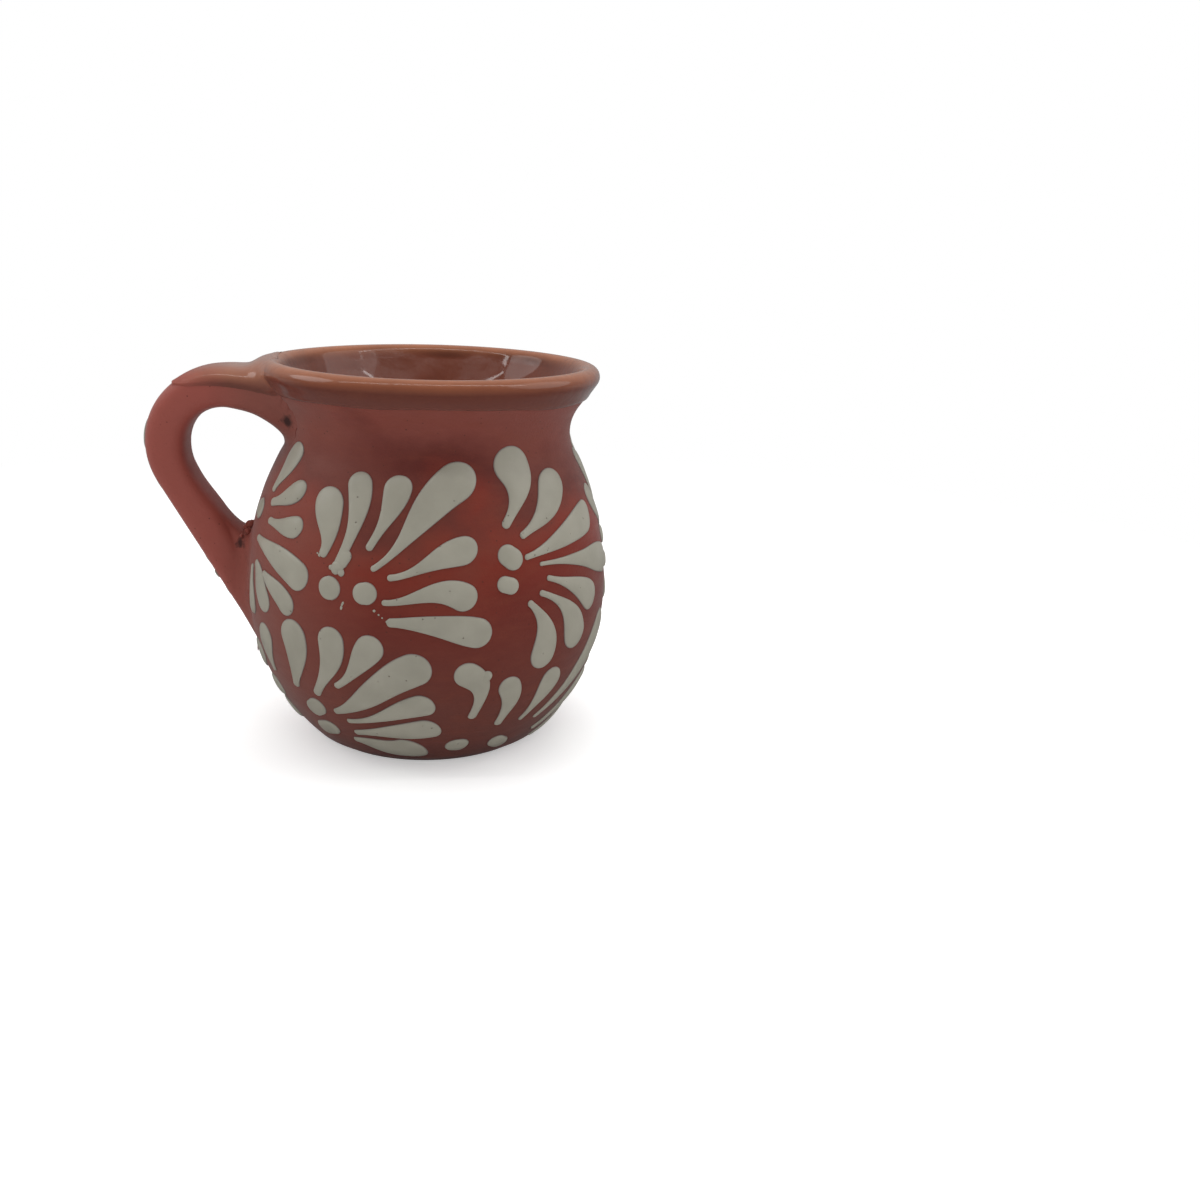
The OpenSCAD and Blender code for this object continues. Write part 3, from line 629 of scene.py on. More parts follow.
def cap_dip(p):
    """How high the glaze ends above a place on the strap: it starts at the neck's dip line
    and rises along the arm, with a short ripple."""
    r = np.hypot(p[..., 0], p[..., 1])
    rise = smooth(r, 37 * MM, 11 * MM)
    ripple = 0.12 * np.sin(p[..., 0] / (1.7 * MM)) + 0.2 * np.sin(p[..., 1] / (1.9 * MM) + 1)
    return CAP_NECK + (CAP_TOP - CAP_NECK) * rise + ripple * MM


def cap_reach(d, side):
    """The angle round the strap at which its skin sinks below the glaze's edge, on one side:
    the first zero of its height over that edge, between two of many angles."""
    turn = np.linspace(0, np.pi, 181)
    skin = strap_skin(d[:, None], side * turn)
    over = skin[..., 2] - cap_dip(skin)
    first = np.argmax(over < 0, 1)
    last = np.maximum(first - 1, 0)
    rows = np.arange(len(d))
    share = over[rows, last] / (over[rows, last] - over[rows, first] + 1e-12)
    return np.where(first > 0, turn[last] + share * (turn[first] - turn[last]), 0)


reach = np.minimum(cap_reach(strap_d, 1), cap_reach(strap_d, -1))
coat_end = strap_d[np.argmax(reach <= 0.02)]
print("the handle's glaze ends", round(coat_end / MM, 1), "mm along the strap")
eased = ROUND_END * (1 - np.sin(np.linspace(0, np.pi / 2, 30))[1:])
along = np.concatenate([strap_d[strap_d < coat_end - ROUND_END], coat_end - eased])
left, right = cap_reach(along, 1)[:, None], cap_reach(along, -1)[:, None]
across = np.sin(np.linspace(-np.pi / 2, np.pi / 2, 81))
cap_a = np.where(across > 0, left, right) * across
wide = strap_halves(along)[1][:, None]
along = along[:, None]
flank = (1 - np.abs(across)) * np.maximum(left, right) * wide
cap_edge = np.minimum(flank, (coat_end - along) * 0.9 + flank * 0.3)
cap_front = strap_skin(along, cap_a, np.maximum(coat(cap_edge, CAP_EDGE), THINNEST))
cap_back = strap_skin(along, cap_a, -BACK)
cap_grid = np.concatenate([cap_front, cap_back[:, ::-1]], 1)
# 1 over the top of the arm: there the glaze is painted lighter, partly its own tone and partly painted
#                            light from above.
on_arm = smooth(3 * (1 - np.abs(np.concatenate([across, across[::-1]])))) + 0 * cap_grid[..., 0]
cap = make_piece("glaze_handle_top", closed_skin(cap_grid), "rim_glaze",
                 "on_arm", np.concatenate([on_arm.ravel(), [0, 0]]))
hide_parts("handle_glaze")

# %% [markdown]
# The ornament is trailed: the potter squeezes liquid slip from a nozzle, lets
# the head of each petal swell and draws the tail in towards the fan's middle.
# Each stroke is a grid of rows along it and columns across, domed like a
# drop, and laid on the pot's own skin. A fan is one piece.

# %% The shape of one stroke
SLIP_H = 0.66 * MM
TAIL_W = 1.5 * MM
SLIP_SINK = 0.12 * MM
STROKE_ROWS = 44
STROKE_COLS = 19
rng = np.random.default_rng(7)


def stroke_rows(length, head, tail, late):
    """Places along a stroke and its half width there: a round tail, a flank that swells
    with 3u^2 - 2u^3 to the power late, and a round head."""
    turn = np.linspace(0, np.pi, STROKE_ROWS)[1:-1]
    x = (length + head + tail) * (1 - np.cos(turn)) / 2 - tail
    flank = tail + (head - tail) * smooth(x / length)**late
    ball = np.where(x < 0, tail**2 - x**2, head**2 - (x - length)**2)
    between_ends = (x >= 0) & (x <= length)
    return x, np.where(between_ends, flank, np.sqrt(np.maximum(ball, 0)))


def stroke_surface(length, head, tail, bow, sway, late, wobble, high):
    """Places [along, across], heights and nearness to the edge of a stroke's top. The
    height is H (1 - e^2.4)^0.5, where e is the distance from the middle line over the
    half width, round at both ends; H grows with the width. The middle line strays
    by 4 bow u(1 - u) + 8 sway u(1 - u)(2u - 1)."""
    x, half = stroke_rows(length, head, tail, late)
    half = half * (1 + wobble[0] * np.sin(x / (2.3 * MM) + wobble[1]))
    v = np.sin(np.linspace(-np.pi / 2, np.pi / 2, STROKE_COLS))
    y = half[:, None] * v
    beyond = np.maximum(x - length, 0)[:, None] / head + np.maximum(-x, 0)[:, None] / tail
    edge = np.sqrt(np.clip(beyond**2 + (1 - beyond**2) * v**2, 0, 1))
    crown = high * (0.55 + 0.45 * np.clip(half / head, 0, 1))[:, None]
    crown = crown * (1 + wobble[2] * np.sin(x / (3.1 * MM) + wobble[1]))[:, None]
    height = crown * np.sqrt(1 - edge**2.4 + 1e-9)
    u = np.clip(x / length, 0, 1)[:, None]
    slope = 4 * bow * (1 - 2 * u) + 8 * sway * (6 * u - 6 * u * u - 1)
    long = np.sqrt(length**2 + slope**2)
    beyond_end = x[:, None] - length * u
    px = length * u + (beyond_end * length - y * slope) / long
    middle = 4 * u * (1 - u) * (bow + 2 * sway * (2 * u - 1))
    py = middle + (beyond_end * slope + y * length) / long
    return px, py, height, edge


def stroke_skin(px, py, height, edge, place):
    """The closed skin of one stroke, and its nearness to the edge. place(x, y, h) lays it on
    the clay; a last column runs along the middle of its underside, sunk in the clay."""
    middle = STROKE_COLS // 2
    px, py = (np.concatenate([part, part[:, [middle]]], 1) for part in (px, py))
    height = np.concatenate([height, np.full((len(px), 1), -SLIP_SINK)], 1)
    edge = np.concatenate([edge, np.ones((len(px), 1))], 1)
    return closed_skin(place(px, py, height)), np.concatenate([edge.ravel(), [1, 1]])


def hand_wobble():
    """Small differences between strokes: how much the width strays, where, and the height."""
    return rng.uniform(0.01, 0.035), rng.uniform(0, 6.3), rng.uniform(0.02, 0.07)


def join_strokes(name, strokes):
    """One piece from several strokes, with each point's nearness to its stroke's edge."""
    skins, edges = zip(*strokes)
    piece = make_piece(name, join_skins(skins), "slip", "edge", np.concatenate(edges))
    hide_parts(name.removeprefix("slip_"))


# %% [markdown]
# A fan has a middle, given as an azimuth and a share of the way from the belly
# down to the foot or up to the neck. A petal's row holds the direction and
# reach of its head and of its tail from that middle, its width, its bow, its
# sway, how late it swells and the width of its tail. A dot's row holds its
# direction, reach, width, stretch and tilt. Directions and tilts are in degrees,
# the rest are shares, and a row may stop early where the usual values do. The
# smallest dots are the drips that fell beside a stroke.

# %% Lay a fan on the pot
PETAL_REACH = 34 * MM
PETAL_W = 7 * MM
DOT_D = 5 * MM
CROWD = 3 * MM
bowl_run = bowl_r * math.asin(BELLY_H / bowl_r)
shoulder_run = shoulder_r * touch_angle


def on_pot(focus_az, focus_s, x, y, h):
    """A place x round the pot and y up the pot from a fan's middle, at a height h over the
    clay. Slip that would run over the foot crowds together above it."""
    s = focus_s + y
    limit = 2 * CROWD - bowl_run
    crowded = limit - CROWD * (1 - np.exp(np.minimum(s - limit, 0) / CROWD))
    s = belly_place + np.where(s > limit, s, crowded)
    az = focus_az + x / along_clay(s)[0]
    return clay_skin(s, az, h)


def from_up(degrees, reach):
    """A point at a reach from the middle, in a direction counted from straight up."""
    return reach * np.array([math.sin(math.radians(degrees)), math.cos(math.radians(degrees))])


def petal(direction, reach, tail_direction, tail_reach, width, bow=0, sway=0, late=1.25, tail=1.2):
    """A petal's head and tail from the fan's middle, its half widths there, and its bends."""
    return (from_up(direction, reach * PETAL_REACH), from_up(tail_direction, tail_reach * PETAL_REACH),
            width * PETAL_W / 2, tail * TAIL_W / 2, bow, sway, late)


def dot(direction, reach, width, stretch=1, tilt=0):
    """A dot as a very short petal, as long as it is stretched along its tilt."""
    at = from_up(direction, reach * PETAL_REACH)
    half = width * DOT_D / 2
    grow = from_up(90 - tilt, max(stretch - 1, 0.02) * half)
    return at + grow, at - grow, half, half * 0.97, 0, 0, 1


def slip_fan(name, focus, petals, dots, hand=1):
    """A fan of petals and dots about its middle; hand -1 turns it left for right."""
    az0 = math.radians(focus[0])
    s0 = focus[1] * (bowl_run if focus[1] < 0 else shoulder_run)
    rows = [petal(*row) for row in petals] + [dot(*row) for row in dots]
    strokes = []
    for head, tail, wide, narrow, bow, sway, late in rows:
        length = np.hypot(*(head - tail))
        way = (head - tail) / length
        shape = stroke_surface(length, wide, narrow, bow * length, sway * length, late,
                               hand_wobble(), min(SLIP_H, wide / 2))

        def place(x, y, h):
            """x along the stroke and y across it, turned its way and laid on the pot."""
            return on_pot(az0, s0, hand * (tail[0] + x * way[0] - y * way[1]),
                          tail[1] + x * way[1] + y * way[0], h)
        strokes.append(stroke_skin(*shape, place))
    join_strokes(name, strokes)


# %% [markdown]
# The fans at the front, from the middle one to the one beside the handle. Each
# petal was laid by hand, so each has its own bow, swell and tail.

# %% The petals and dots at the front
CENTRE_PETAL_SHARES = [
    [-29, 0.64, -53, 0.39, 1.13, -0.071, 0.028, 0.88, 1.49],
    [-8, 0.72, -57, 0.25, 0.86, -0.086, -0.013, 2.05, 1.49],
    [13, 0.72, 4, 0.31, 0.92, -0.053, -0.009, 1.59, 1.23],
    [35, 0.91, 19, 0.18, 1.42, -0.016, 0.031, 1.28, 0.92],
    [65, 0.7, 56, 0.21, 0.96, -0.001, 0.031, 1.57, 1],
    [91, 0.66, 109, 0.15, 0.9, 0.074, 0.047, 1.22, 0.92],
    [109, 0.8, 134, 0.26, 1.02, 0.039, -0.003, 0.87, 1.43]
]
CENTRE_DOT_SHARES = [
    [-88, 0.253, 1.13, 1.02, 12], [69, 0.005, 1.05, 1.11, 7], [-36, 0.262, 0.62, 1.5, 60],
    [-50, 0.252, 0.5, 1.3, 20], [-53, 0.213, 0.34, 1.3, -70], [-58, 0.28, 0.24, 1.5, 10],
    [-58, 0.404, 0.16], [-58, 0.424, 0.1], [-119, 0.172, 0.1, 2.2, 60], [-125, 0.194, 0.12, 1.6, 80],
    [146, 0.13, 0.13], [142, 0.168, 0.09], [140, 0.198, 0.08], [137, 0.24, 0.13, 1.4]
]
RIGHT_PETAL_SHARES = [
    [10, 0.72, -1, 0.32, 1.37, -0.14, -0.021, 1.44, 1.44],
    [40, 0.69, 26, 0.26, 1.28, -0.094, -0.013, 1.09, 1.18],
    [73, 0.85, 56, 0.15, 1.14, 0.001, 0.007, 0.9, 0.95],
    [96, 1.13, 85, 0.24, 1.11, 0.029, -0.001, 1.22, 0.69],
    [112, 0.84, 106, 0.31, 1.02, 0.042, 0.007, 1.24, 0.9],
    [133, 0.8, 128, 0.29, 1.2, 0.13, 0.01, 1.59, 0.96],
    [158, 0.68, 151, 0.27, 1.08, 0.151, 0.008, 0.93, 1.11]
]
RIGHT_DOT_SHARES = [[-3, 0.098, 1.08, 1.25, -39], [-155, 0.095, 0.8, 1.4, -19]]
LOW_LEFT_PETAL_SHARES = [
    [-44, 0.76, -60, 0.58, 1, 0.06, 0, 0.8, 1],
    [-13, 0.67, -41, 0.34, 1.19, -0.062, -0.019, 0.81, 1.44],
    [15, 0.71, -4, 0.24, 0.98, -0.081, -0.025, 1.34, 1.46],
    [35, 0.81, 28, 0.39, 0.96, -0.044, 0.014, 1.54, 1.13],
    [55, 0.92, 47, 0.14, 1.17, -0.002, 0.024, 0.6, 1.19],
    [73, 0.79, 84, 0.18, 0.89, -0.014, 0.02, 1.45, 0.95],
    [90, 0.73, 118, 0.22, 0.93, 0.001, -0.008, 0.9, 1.24],
    [117, 0.57, 144, 0.25, 1.23, -0.036, -0.036, 0.64, 1.28]
]
LOW_LEFT_DOT_SHARES = [[-54, 0.123, 1.07, 1.33, 36], [-149, 0.163, 1.06, 1.43, 21]]
LOW_RIGHT_PETAL_SHARES = [
    [-18, 0.78, -23, 0.41, 0.91, -0.197, -0.039, 1.47, 1.48],
    [8, 0.6, 12, 0.27, 0.85, -0.1, -0.027, 1.13, 1.49],
    [39, 0.73, 45, 0.35, 0.96, -0.034, 0.005, 1.11, 0.88],
    [54, 1.4, 62, 0.45, 1.15, -0.03, 0, 0.8, 0.8],
    [70, 1.1, 85, 0.45, 0.8, -0.02, 0, 0.9, 0.9],
    [88, 0.95, 104, 0.5, 0.66, 0, 0, 1, 0.9]
]
LOW_RIGHT_DOT_SHARES = [
    [-76, 0.212, 1.02, 1.14, -3], [90, 0.123, 0.99, 1.29, -41], [-9, 0.715, 0.56, 1.3, 60]
]
HANDLE_PETAL_SHARES = [
    [24, 0.6, 33, 0.34, 1, -0.05, -0.03, 0.8, 1.3],
    [57, 0.59, 52, 0.32, 0.83, -0.042, 0.001, 1.33, 1.48],
    [82, 0.62, 77, 0.31, 0.75, -0.024, 0, 1.22, 1.24],
    [107, 0.78, 117, 0.19, 1, 0.038, 0.008, 0.61, 1.2],
    [124, 0.79, 129, 0.47, 0.81, 0.028, 0.021, 0.46, 1.06],
    [143, 0.6, 141, 0.34, 0.94, 0.038, -0.037, 0.5, 1.49],
    [168, 0.6, 160, 0.33, 0.65, 0, 0, 1, 1.1]
]
HANDLE_DOT_SHARES = [[10, 0.1, 1.05, 1.1, 12]]
print("petals at the front:", sum(len(petals) for petals in (
    CENTRE_PETAL_SHARES, RIGHT_PETAL_SHARES, LOW_LEFT_PETAL_SHARES, LOW_RIGHT_PETAL_SHARES,
    HANDLE_PETAL_SHARES)))

# %% [markdown]
# The fans beside and under the handle, at the far side and at the right are
# drawn in the same hand. Their petals take the usual swell and tail.

# %% The petals and dots of the other fans
BESIDE_PETAL_SHARES = [
    [20, 1, -20, 0.25, 1.17],
    [37, 0.61, 27, 0.24, 1.01],
    [66, 0.58, 67, 0.17, 1.04, -0.04, -0.015],
    [98, 0.6, 105, 0.2, 0.98, 0.1, 0.015]
]
BESIDE_DOT_SHARES = [[0, 0, 1.1, 1.2]]
FAR_PETAL_SHARES = [
    [25, 0.77, 10, 0.35, 1.06],
    [50, 0.8, 27, 0.31, 1, -0.05, -0.015],
    [71, 0.77, 34, 0.21, 1.02, -0.04, -0.015],
    [96, 0.95, 66, 0.2, 1.06, 0.08, 0.015],
    [114, 0.68, 105, 0.3, 0.85, 0.1, 0.015],
    [136, 0.8, 133, 0.24, 0.85, 0.12, 0.015],
    [159, 0.74, 158, 0.28, 0.93, 0.12, 0.015]
]
FAR_DOT_SHARES = [[0, 0, 1.15, 1.1]]
FAR_LOW_PETAL_SHARES = [
    [-9, 0.62, -34, 0.34, 1.02, -0.1, -0.015],
    [17, 0.6, -2, 0.24, 0.87, -0.08, -0.015],
    [41, 0.68, 44, 0.28, 0.85, -0.04, -0.015],
    [54, 1.05, 58, 0.3, 0.91, -0.04, -0.015],
    [70, 0.86, 80, 0.31, 0.81, -0.03, -0.015],
    [89, 0.66, 102, 0.34, 0.66]
]
FAR_LOW_DOT_SHARES = [[0, 0, 1.05, 1.3]]
SIDE_PETAL_SHARES = [
    [-140, 0.42, -140, 0.2, 0.7, 0.06, 0.015],
    [-102, 0.31, -102, 0.15, 0.62, 0.06, 0.015],
    [-66, 0.34, -60, 0.16, 0.68, 0.05, 0.015],
    [-43, 0.66, -42, 0.22, 0.91, 0.04, 0.015],
    [-20, 0.79, -24, 0.27, 1, 0.02, 0.015],
    [0, 0.86, 0, 0.4, 1.02],
    [20, 0.79, 24, 0.27, 1, -0.02, -0.015],
    [43, 0.64, 42, 0.22, 0.88, -0.04, -0.015],
    [66, 0.33, 60, 0.16, 0.66, -0.05, -0.015],
    [102, 0.3, 102, 0.15, 0.6, -0.06, -0.015],
    [140, 0.42, 140, 0.2, 0.7, -0.06, -0.015]
]
SIDE_DOT_SHARES = [[0, 0, 1.05], [0, 0.24, 0.8]]
SIDE_LOW_PETAL_SHARES = [
    [-41, 0.48, -50, 0.2, 0.76, 0.04, 0.015],
    [-19, 0.66, -24, 0.24, 0.87, 0.03, 0.015],
    [0, 0.74, 0, 0.24, 0.91],
    [19, 0.66, 24, 0.24, 0.87, -0.03, -0.015],
    [41, 0.48, 50, 0.2, 0.76, -0.04, -0.015]
]
SIDE_LOW_DOT_SHARES = [[0, 0, 1.05, 1.2]]
UNDER_PETAL_SHARES = [
    [-92, 0.42, -96, 0.18, 0.78, -0.04, -0.015],
    [-66, 0.5, -62, 0.2, 0.83, 0.04, 0.015],
    [-40, 0.62, -30, 0.24, 0.85, 0.06, 0.015],
    [44, 0.66, 30, 0.24, 0.87, -0.04, -0.015],
    [68, 0.58, 60, 0.22, 0.85, -0.04, -0.015],
    [94, 0.47, 92, 0.18, 0.78, 0.04, 0.015]
]
UNDER_DOT_SHARES = [[0, 0.06, 0.95, 1.1]]
FAR_SIDE_PETAL_SHARES = [[row[0], 0.94 * row[1]] + row[2:] for row in RIGHT_PETAL_SHARES]

# %% [markdown]
# Each fan has the name that it has in the measured mug, and a middle: its
# degrees round the pot, counted from the front, and its share of the way up to
# the neck or, below zero, down to the foot. The last number is -1 where a fan
# is turned left for right.

# %% Trail every fan
FANS = [
    ("fan_front_centre", [-19, 0.25], CENTRE_PETAL_SHARES, CENTRE_DOT_SHARES),
    ("fan_front_right", [25, 0.37], RIGHT_PETAL_SHARES, RIGHT_DOT_SHARES),
    ("fan_front_low_left", [-37.5, -0.61], LOW_LEFT_PETAL_SHARES, LOW_LEFT_DOT_SHARES),
    ("fan_front_low_right", [21.5, -0.82], LOW_RIGHT_PETAL_SHARES, LOW_RIGHT_DOT_SHARES),
    ("fan_handle_front", [-74.7, 0.5], HANDLE_PETAL_SHARES, HANDLE_DOT_SHARES),
    ("fan_handle_back", [-111, 0.05], BESIDE_PETAL_SHARES, BESIDE_DOT_SHARES, -1),
    ("fan_far_centre", [-139, 0.45], FAR_PETAL_SHARES, FAR_DOT_SHARES, -1),
    ("fan_far_side", [-191.5, 0.38], FAR_SIDE_PETAL_SHARES, RIGHT_DOT_SHARES, -1),
    ("fan_far_low", [-132.5, -0.77], FAR_LOW_PETAL_SHARES, FAR_LOW_DOT_SHARES, -1),
    ("fan_far_low_side", [-190.5, -0.82], LOW_RIGHT_PETAL_SHARES, LOW_RIGHT_DOT_SHARES, -1),
    ("fan_side_high", [97.5, 0.25], SIDE_PETAL_SHARES, SIDE_DOT_SHARES),
    ("fan_side_low", [97.5, -0.78], SIDE_LOW_PETAL_SHARES, SIDE_LOW_DOT_SHARES),
    ("fan_under_handle", [-92, -0.7], UNDER_PETAL_SHARES, UNDER_DOT_SHARES),
]
for fan_name, *shape in FANS:
    slip_fan("slip_" + fan_name, *shape)

# %% [markdown]
# The strokes down the handle's outer face are trailed the same way, but lie on
# the strap: across it, and up it towards the arm.

# %% Slip strokes on the handle
STROKE_L = 12 * MM
THIN_SLIP = 0.36 * MM
STRAP_STROKE_SHARES = [
    [0.46, -0.95, 0.84, 0.82, 0.16, 33],
    [0.565, -0.85, 0.74, 0.78, 0.16, 42],
    [0.68, -0.6, 0.52, 0.7, 0.04, 44],
    [0.765, -0.5, 0.52, 0.66, 0.04, 40],
    [0.845, -0.5, 0.46, 0.62, 0.04, 24]
]
STRAP_SPOT_SHARES = [[0.77, 0.6, 0.46, 0.62]]


def on_strap(d0, y0, x, y, h):
    """A place x across and y up the strap from a place on it, at a height h over it. The
    angle round the strap follows from how far across it is, by the bulge turned round."""
    d = d0 - y
    half = strap_halves(d)[1]
    side = np.clip(-(y0 + x) / half, -1, 1)
    a = np.arcsin(np.sign(side) * np.abs(side) ** (1 / FLATNESS))
    return strap_skin(d, a, h)


def strap_stroke(d_share, y_share, length, wide, narrow, bow, late, degrees, stretch=1):
    """A stroke from a place on the strap, given as shares of its length and half width,
    turned by its degrees from straight across and stretched sideways."""
    d0 = d_share * strap_len
    y0 = y_share * strap_halves(np.array(d0))[1]
    way = from_up(90 - degrees, 1)
    shape = stroke_surface(length, wide, narrow, bow * length, 0, late, hand_wobble(), THIN_SLIP)

    def place(x, y, h):
        """x along the stroke and y across it, turned its way and laid on the strap."""
        return on_strap(d0, y0, x * way[0] - stretch * y * way[1], x * way[1] + stretch * y * way[0], h)
    return stroke_skin(*shape, place)


strap_strokes = []
for d_share, y_share, long_share, wide_share, bow, degrees in STRAP_STROKE_SHARES:
    strap_strokes.append(strap_stroke(d_share, y_share, long_share * STROKE_L, wide_share * PETAL_W / 2,
                                      TAIL_W / 2, bow, 1.2, degrees))
for d_share, y_share, wide_share, stretch in STRAP_SPOT_SHARES:
    half = wide_share * DOT_D / 2
    strap_strokes.append(strap_stroke(d_share, y_share, 0.06 * half, half, half * 0.97,
                                      0, 1, 90, stretch))
join_strokes("slip_handle_strokes", strap_strokes)

# %% [markdown]
# Materials are worked out from object coordinates, in metres, so a pattern
# keeps its real size on every piece. A few helpers keep the node trees short.

# %% Helpers for node trees
def add(tree, kind, inputs=(), **settings):
    """A node with its settings, and its inputs set to a value or linked to a socket."""
    node = tree.nodes.new("ShaderNode" + kind)
    for key, value in settings.items():
        setattr(node, key, value)
    for key, value in dict(inputs).items():
        if isinstance(value, bpy.types.NodeSocket):
            tree.links.new(value, node.inputs[key])
        else:
            node.inputs[key].default_value = value
    return node


def new_material(name):
    """A material, its empty node tree, and the places that its patterns follow."""
    material = bpy.data.materials.new(name)
    material.use_nodes = True
    tree = material.node_tree
    tree.nodes.clear()
    return material, tree, add(tree, "TexCoord").outputs["Object"]


def axis(tree, where, name):
    """A place's X, Y or Z."""
    return add(tree, "SeparateXYZ", {"Vector": where}).outputs[name]


def calc(tree, operation, first, second):
    """The sum, difference or product of two numbers."""
    return add(tree, "Math", {0: first, 1: second}, operation=operation).outputs[0]


def ramp(tree, factor, stops):
    """A colour ramp through stops of a place and a colour."""
    node = add(tree, "ValToRGB", {"Fac": factor})
    ends = node.color_ramp.elements
    while len(ends) < len(stops):
        ends.new(0.5)
    for end, (place, colour) in zip(ends, stops):
        end.position = place
        end.color = (*colour, 1)
    return node.outputs["Color"]


def noise(tree, where, size, detail=3, rough=0.5):
    """Noise whose lumps are about a size in metres."""
    return add(tree, "TexNoise", {"Vector": where, "Scale": 1 / size, "Detail": detail,
                                  "Roughness": rough}).outputs["Fac"]


def specks(tree, where, size):
    """Distance from the nearest of many scattered points, as a share of a size in metres."""
    return add(tree, "TexVoronoi", {"Vector": where, "Scale": 1 / size}).outputs["Distance"]


def span(tree, value, low, high, to_low=0.0, to_high=1.0):
    """A value's range from low to high, stretched onto another range and clamped."""
    return add(tree, "MapRange", {"Value": value, "From Min": low, "From Max": high,
                                  "To Min": to_low, "To Max": to_high}).outputs[0]


def blend(tree, factor, first, second):
    """Two colours mixed, the first a socket or a colour, the second a colour."""
    first = first if isinstance(first, bpy.types.NodeSocket) else (*first, 1)
    return add(tree, "Mix", {0: factor, 6: first, 7: (*second, 1)}, data_type="RGBA").outputs[2]


def bump(tree, height, distance, normal=None):
    """A bump normal from a height between 0 and 1 that stands a distance high."""
    inputs = {"Height": height, "Distance": distance, "Strength": 1.0}
    if normal:
        inputs["Normal"] = normal
    return add(tree, "Bump", inputs).outputs[0]


def finish_material(tree, inputs):
    """A Principled shader with these inputs, wired to the output."""
    shader = add(tree, "BsdfPrincipled", inputs)
    add(tree, "OutputMaterial", {0: shader.outputs[0]})


# %% [markdown]
# The clay is burnished earthenware: a soft sheen, brick red on the belly and
# browner at the neck, with a darker band below the neck, and darker and browner
# towards the foot, where the darkening is painted shade. It has faint streaks
# from the burnishing stone, a fine grain and a few dark specks. It is painted
# paler on the handle's side, a painted sheen, and palest on the pulled strap, as
# painted light, and two spots of painted shade darken the hollows at the front
# of the joints.

# %% The burnished clay
MUG_H = 95 * MM
DRIFT = 12 * MM
# The pot is painted paler towards the handle's side: a painted sheen.
HANDLE_SIDE_SHEEN_X = (-36 * MM, -12 * MM)
# The strap is painted paler still: painted light that lifts its shaded faces.
STRAP_PAINTED_LIGHT_X = (-52 * MM, -42 * MM)
# Two spots of painted shade in the hollows at the front of the joints: x, z and size in millimetres,
# and the shade's colour.
PAINTED_JOINT_SHADES = [(-32.9, 81.0, 1.7, (0.025, 0.010, 0.009)), (-46.2, 49.7, 1.3, (0.035, 0.012, 0.010))]


def painted_hollow_shade(tree, where, x, z, size):
    """Painted shade for the hollow in the front of a joint: 0.85 at a place x, z in millimetres,
    0 beyond its size, with a ragged edge."""
    flat = add(tree, "VectorMath", {0: where, 1: (1, 0, 0.8)}, operation="MULTIPLY").outputs[0]
    way = add(tree, "VectorMath", {0: flat, 1: (x * MM, 0, 0.8 * z * MM)}, operation="DISTANCE")
    ragged = span(tree, noise(tree, where, 1.2 * MM, 2), 0.3, 0.7, -0.5 * MM, 0.5 * MM)
    far = calc(tree, "ADD", way.outputs["Value"], ragged)
    near = span(tree, far, 0.25 * size * MM, size * MM, 1, 0)
    return calc(tree, "MULTIPLY", near, span(tree, axis(tree, where, "Y"), -2 * MM, 0, 0.85, 0))


def clay_material():
    """Tones up the mug's height, drifting with a cloud, then the blends one over another."""
    material, tree, where = new_material("burnished_clay")
    x = axis(tree, where, "X")
    cloud = noise(tree, where, 30 * MM, 4)
    upright = add(tree, "Mapping", {"Vector": where, "Scale": (1, 1, 3.5)}).outputs[0]
    streak = noise(tree, upright, 9 * MM, 4, 0.6)
    drift = calc(tree, "ADD", axis(tree, where, "Z"), span(tree, cloud, 0.3, 0.7, -DRIFT, DRIFT))
    # Tones up the height: brick red on the belly, browner at the neck with a darker band below it, and
    # darker towards the foot, which is painted shade.
    colour = ramp(tree, span(tree, drift, 0, MUG_H), [
        (0.00, (0.130, 0.036, 0.028)), (0.22, (0.148, 0.037, 0.026)),
        (0.42, (0.168, 0.021, 0.012)), (0.58, (0.225, 0.020, 0.008)),
        (0.66, (0.230, 0.030, 0.016)), (0.75, (0.140, 0.024, 0.017)),
        (0.86, (0.232, 0.054, 0.039)), (1.00, (0.250, 0.064, 0.048)),
    ])
    dots = specks(tree, where, 2.6 * MM)
    # Blends over the tones: a cloud, burnishing streaks, painted sheen on the handle's side, painted
    # light on the strap, dark specks and painted shade in the joints' hollows.
    for factor, tone in [
        (span(tree, cloud, 0.42, 0.62, 0, 0.35), (0.145, 0.042, 0.028)),
        (span(tree, streak, 0.45, 0.72, 0, 0.3), (0.215, 0.046, 0.023)),
        (span(tree, x, *HANDLE_SIDE_SHEEN_X, 0.6, 0), (0.245, 0.076, 0.056)),
        (span(tree, x, *STRAP_PAINTED_LIGHT_X, 0.8, 0), (0.345, 0.080, 0.061)),
        (span(tree, dots, 0.05, 0.09, 0.6, 0), (0.055, 0.020, 0.014)),
    ] + [(painted_hollow_shade(tree, where, *place), tone) for *place, tone in PAINTED_JOINT_SHADES]:
        colour = blend(tree, factor, colour, tone)
    normal = bump(tree, noise(tree, where, 0.5 * MM, 2, 0.6), 0.05 * MM)
    normal = bump(tree, streak, 0.12 * MM, normal)
    finish_material(tree, {"Base Color": colour, "Roughness": span(tree, streak, 0.35, 0.7, 0.62, 0.5),
                           "Normal": normal, "Specular IOR Level": 0.26, "Sheen Weight": 0.15,
                           "Sheen Roughness": 0.4})
    return material


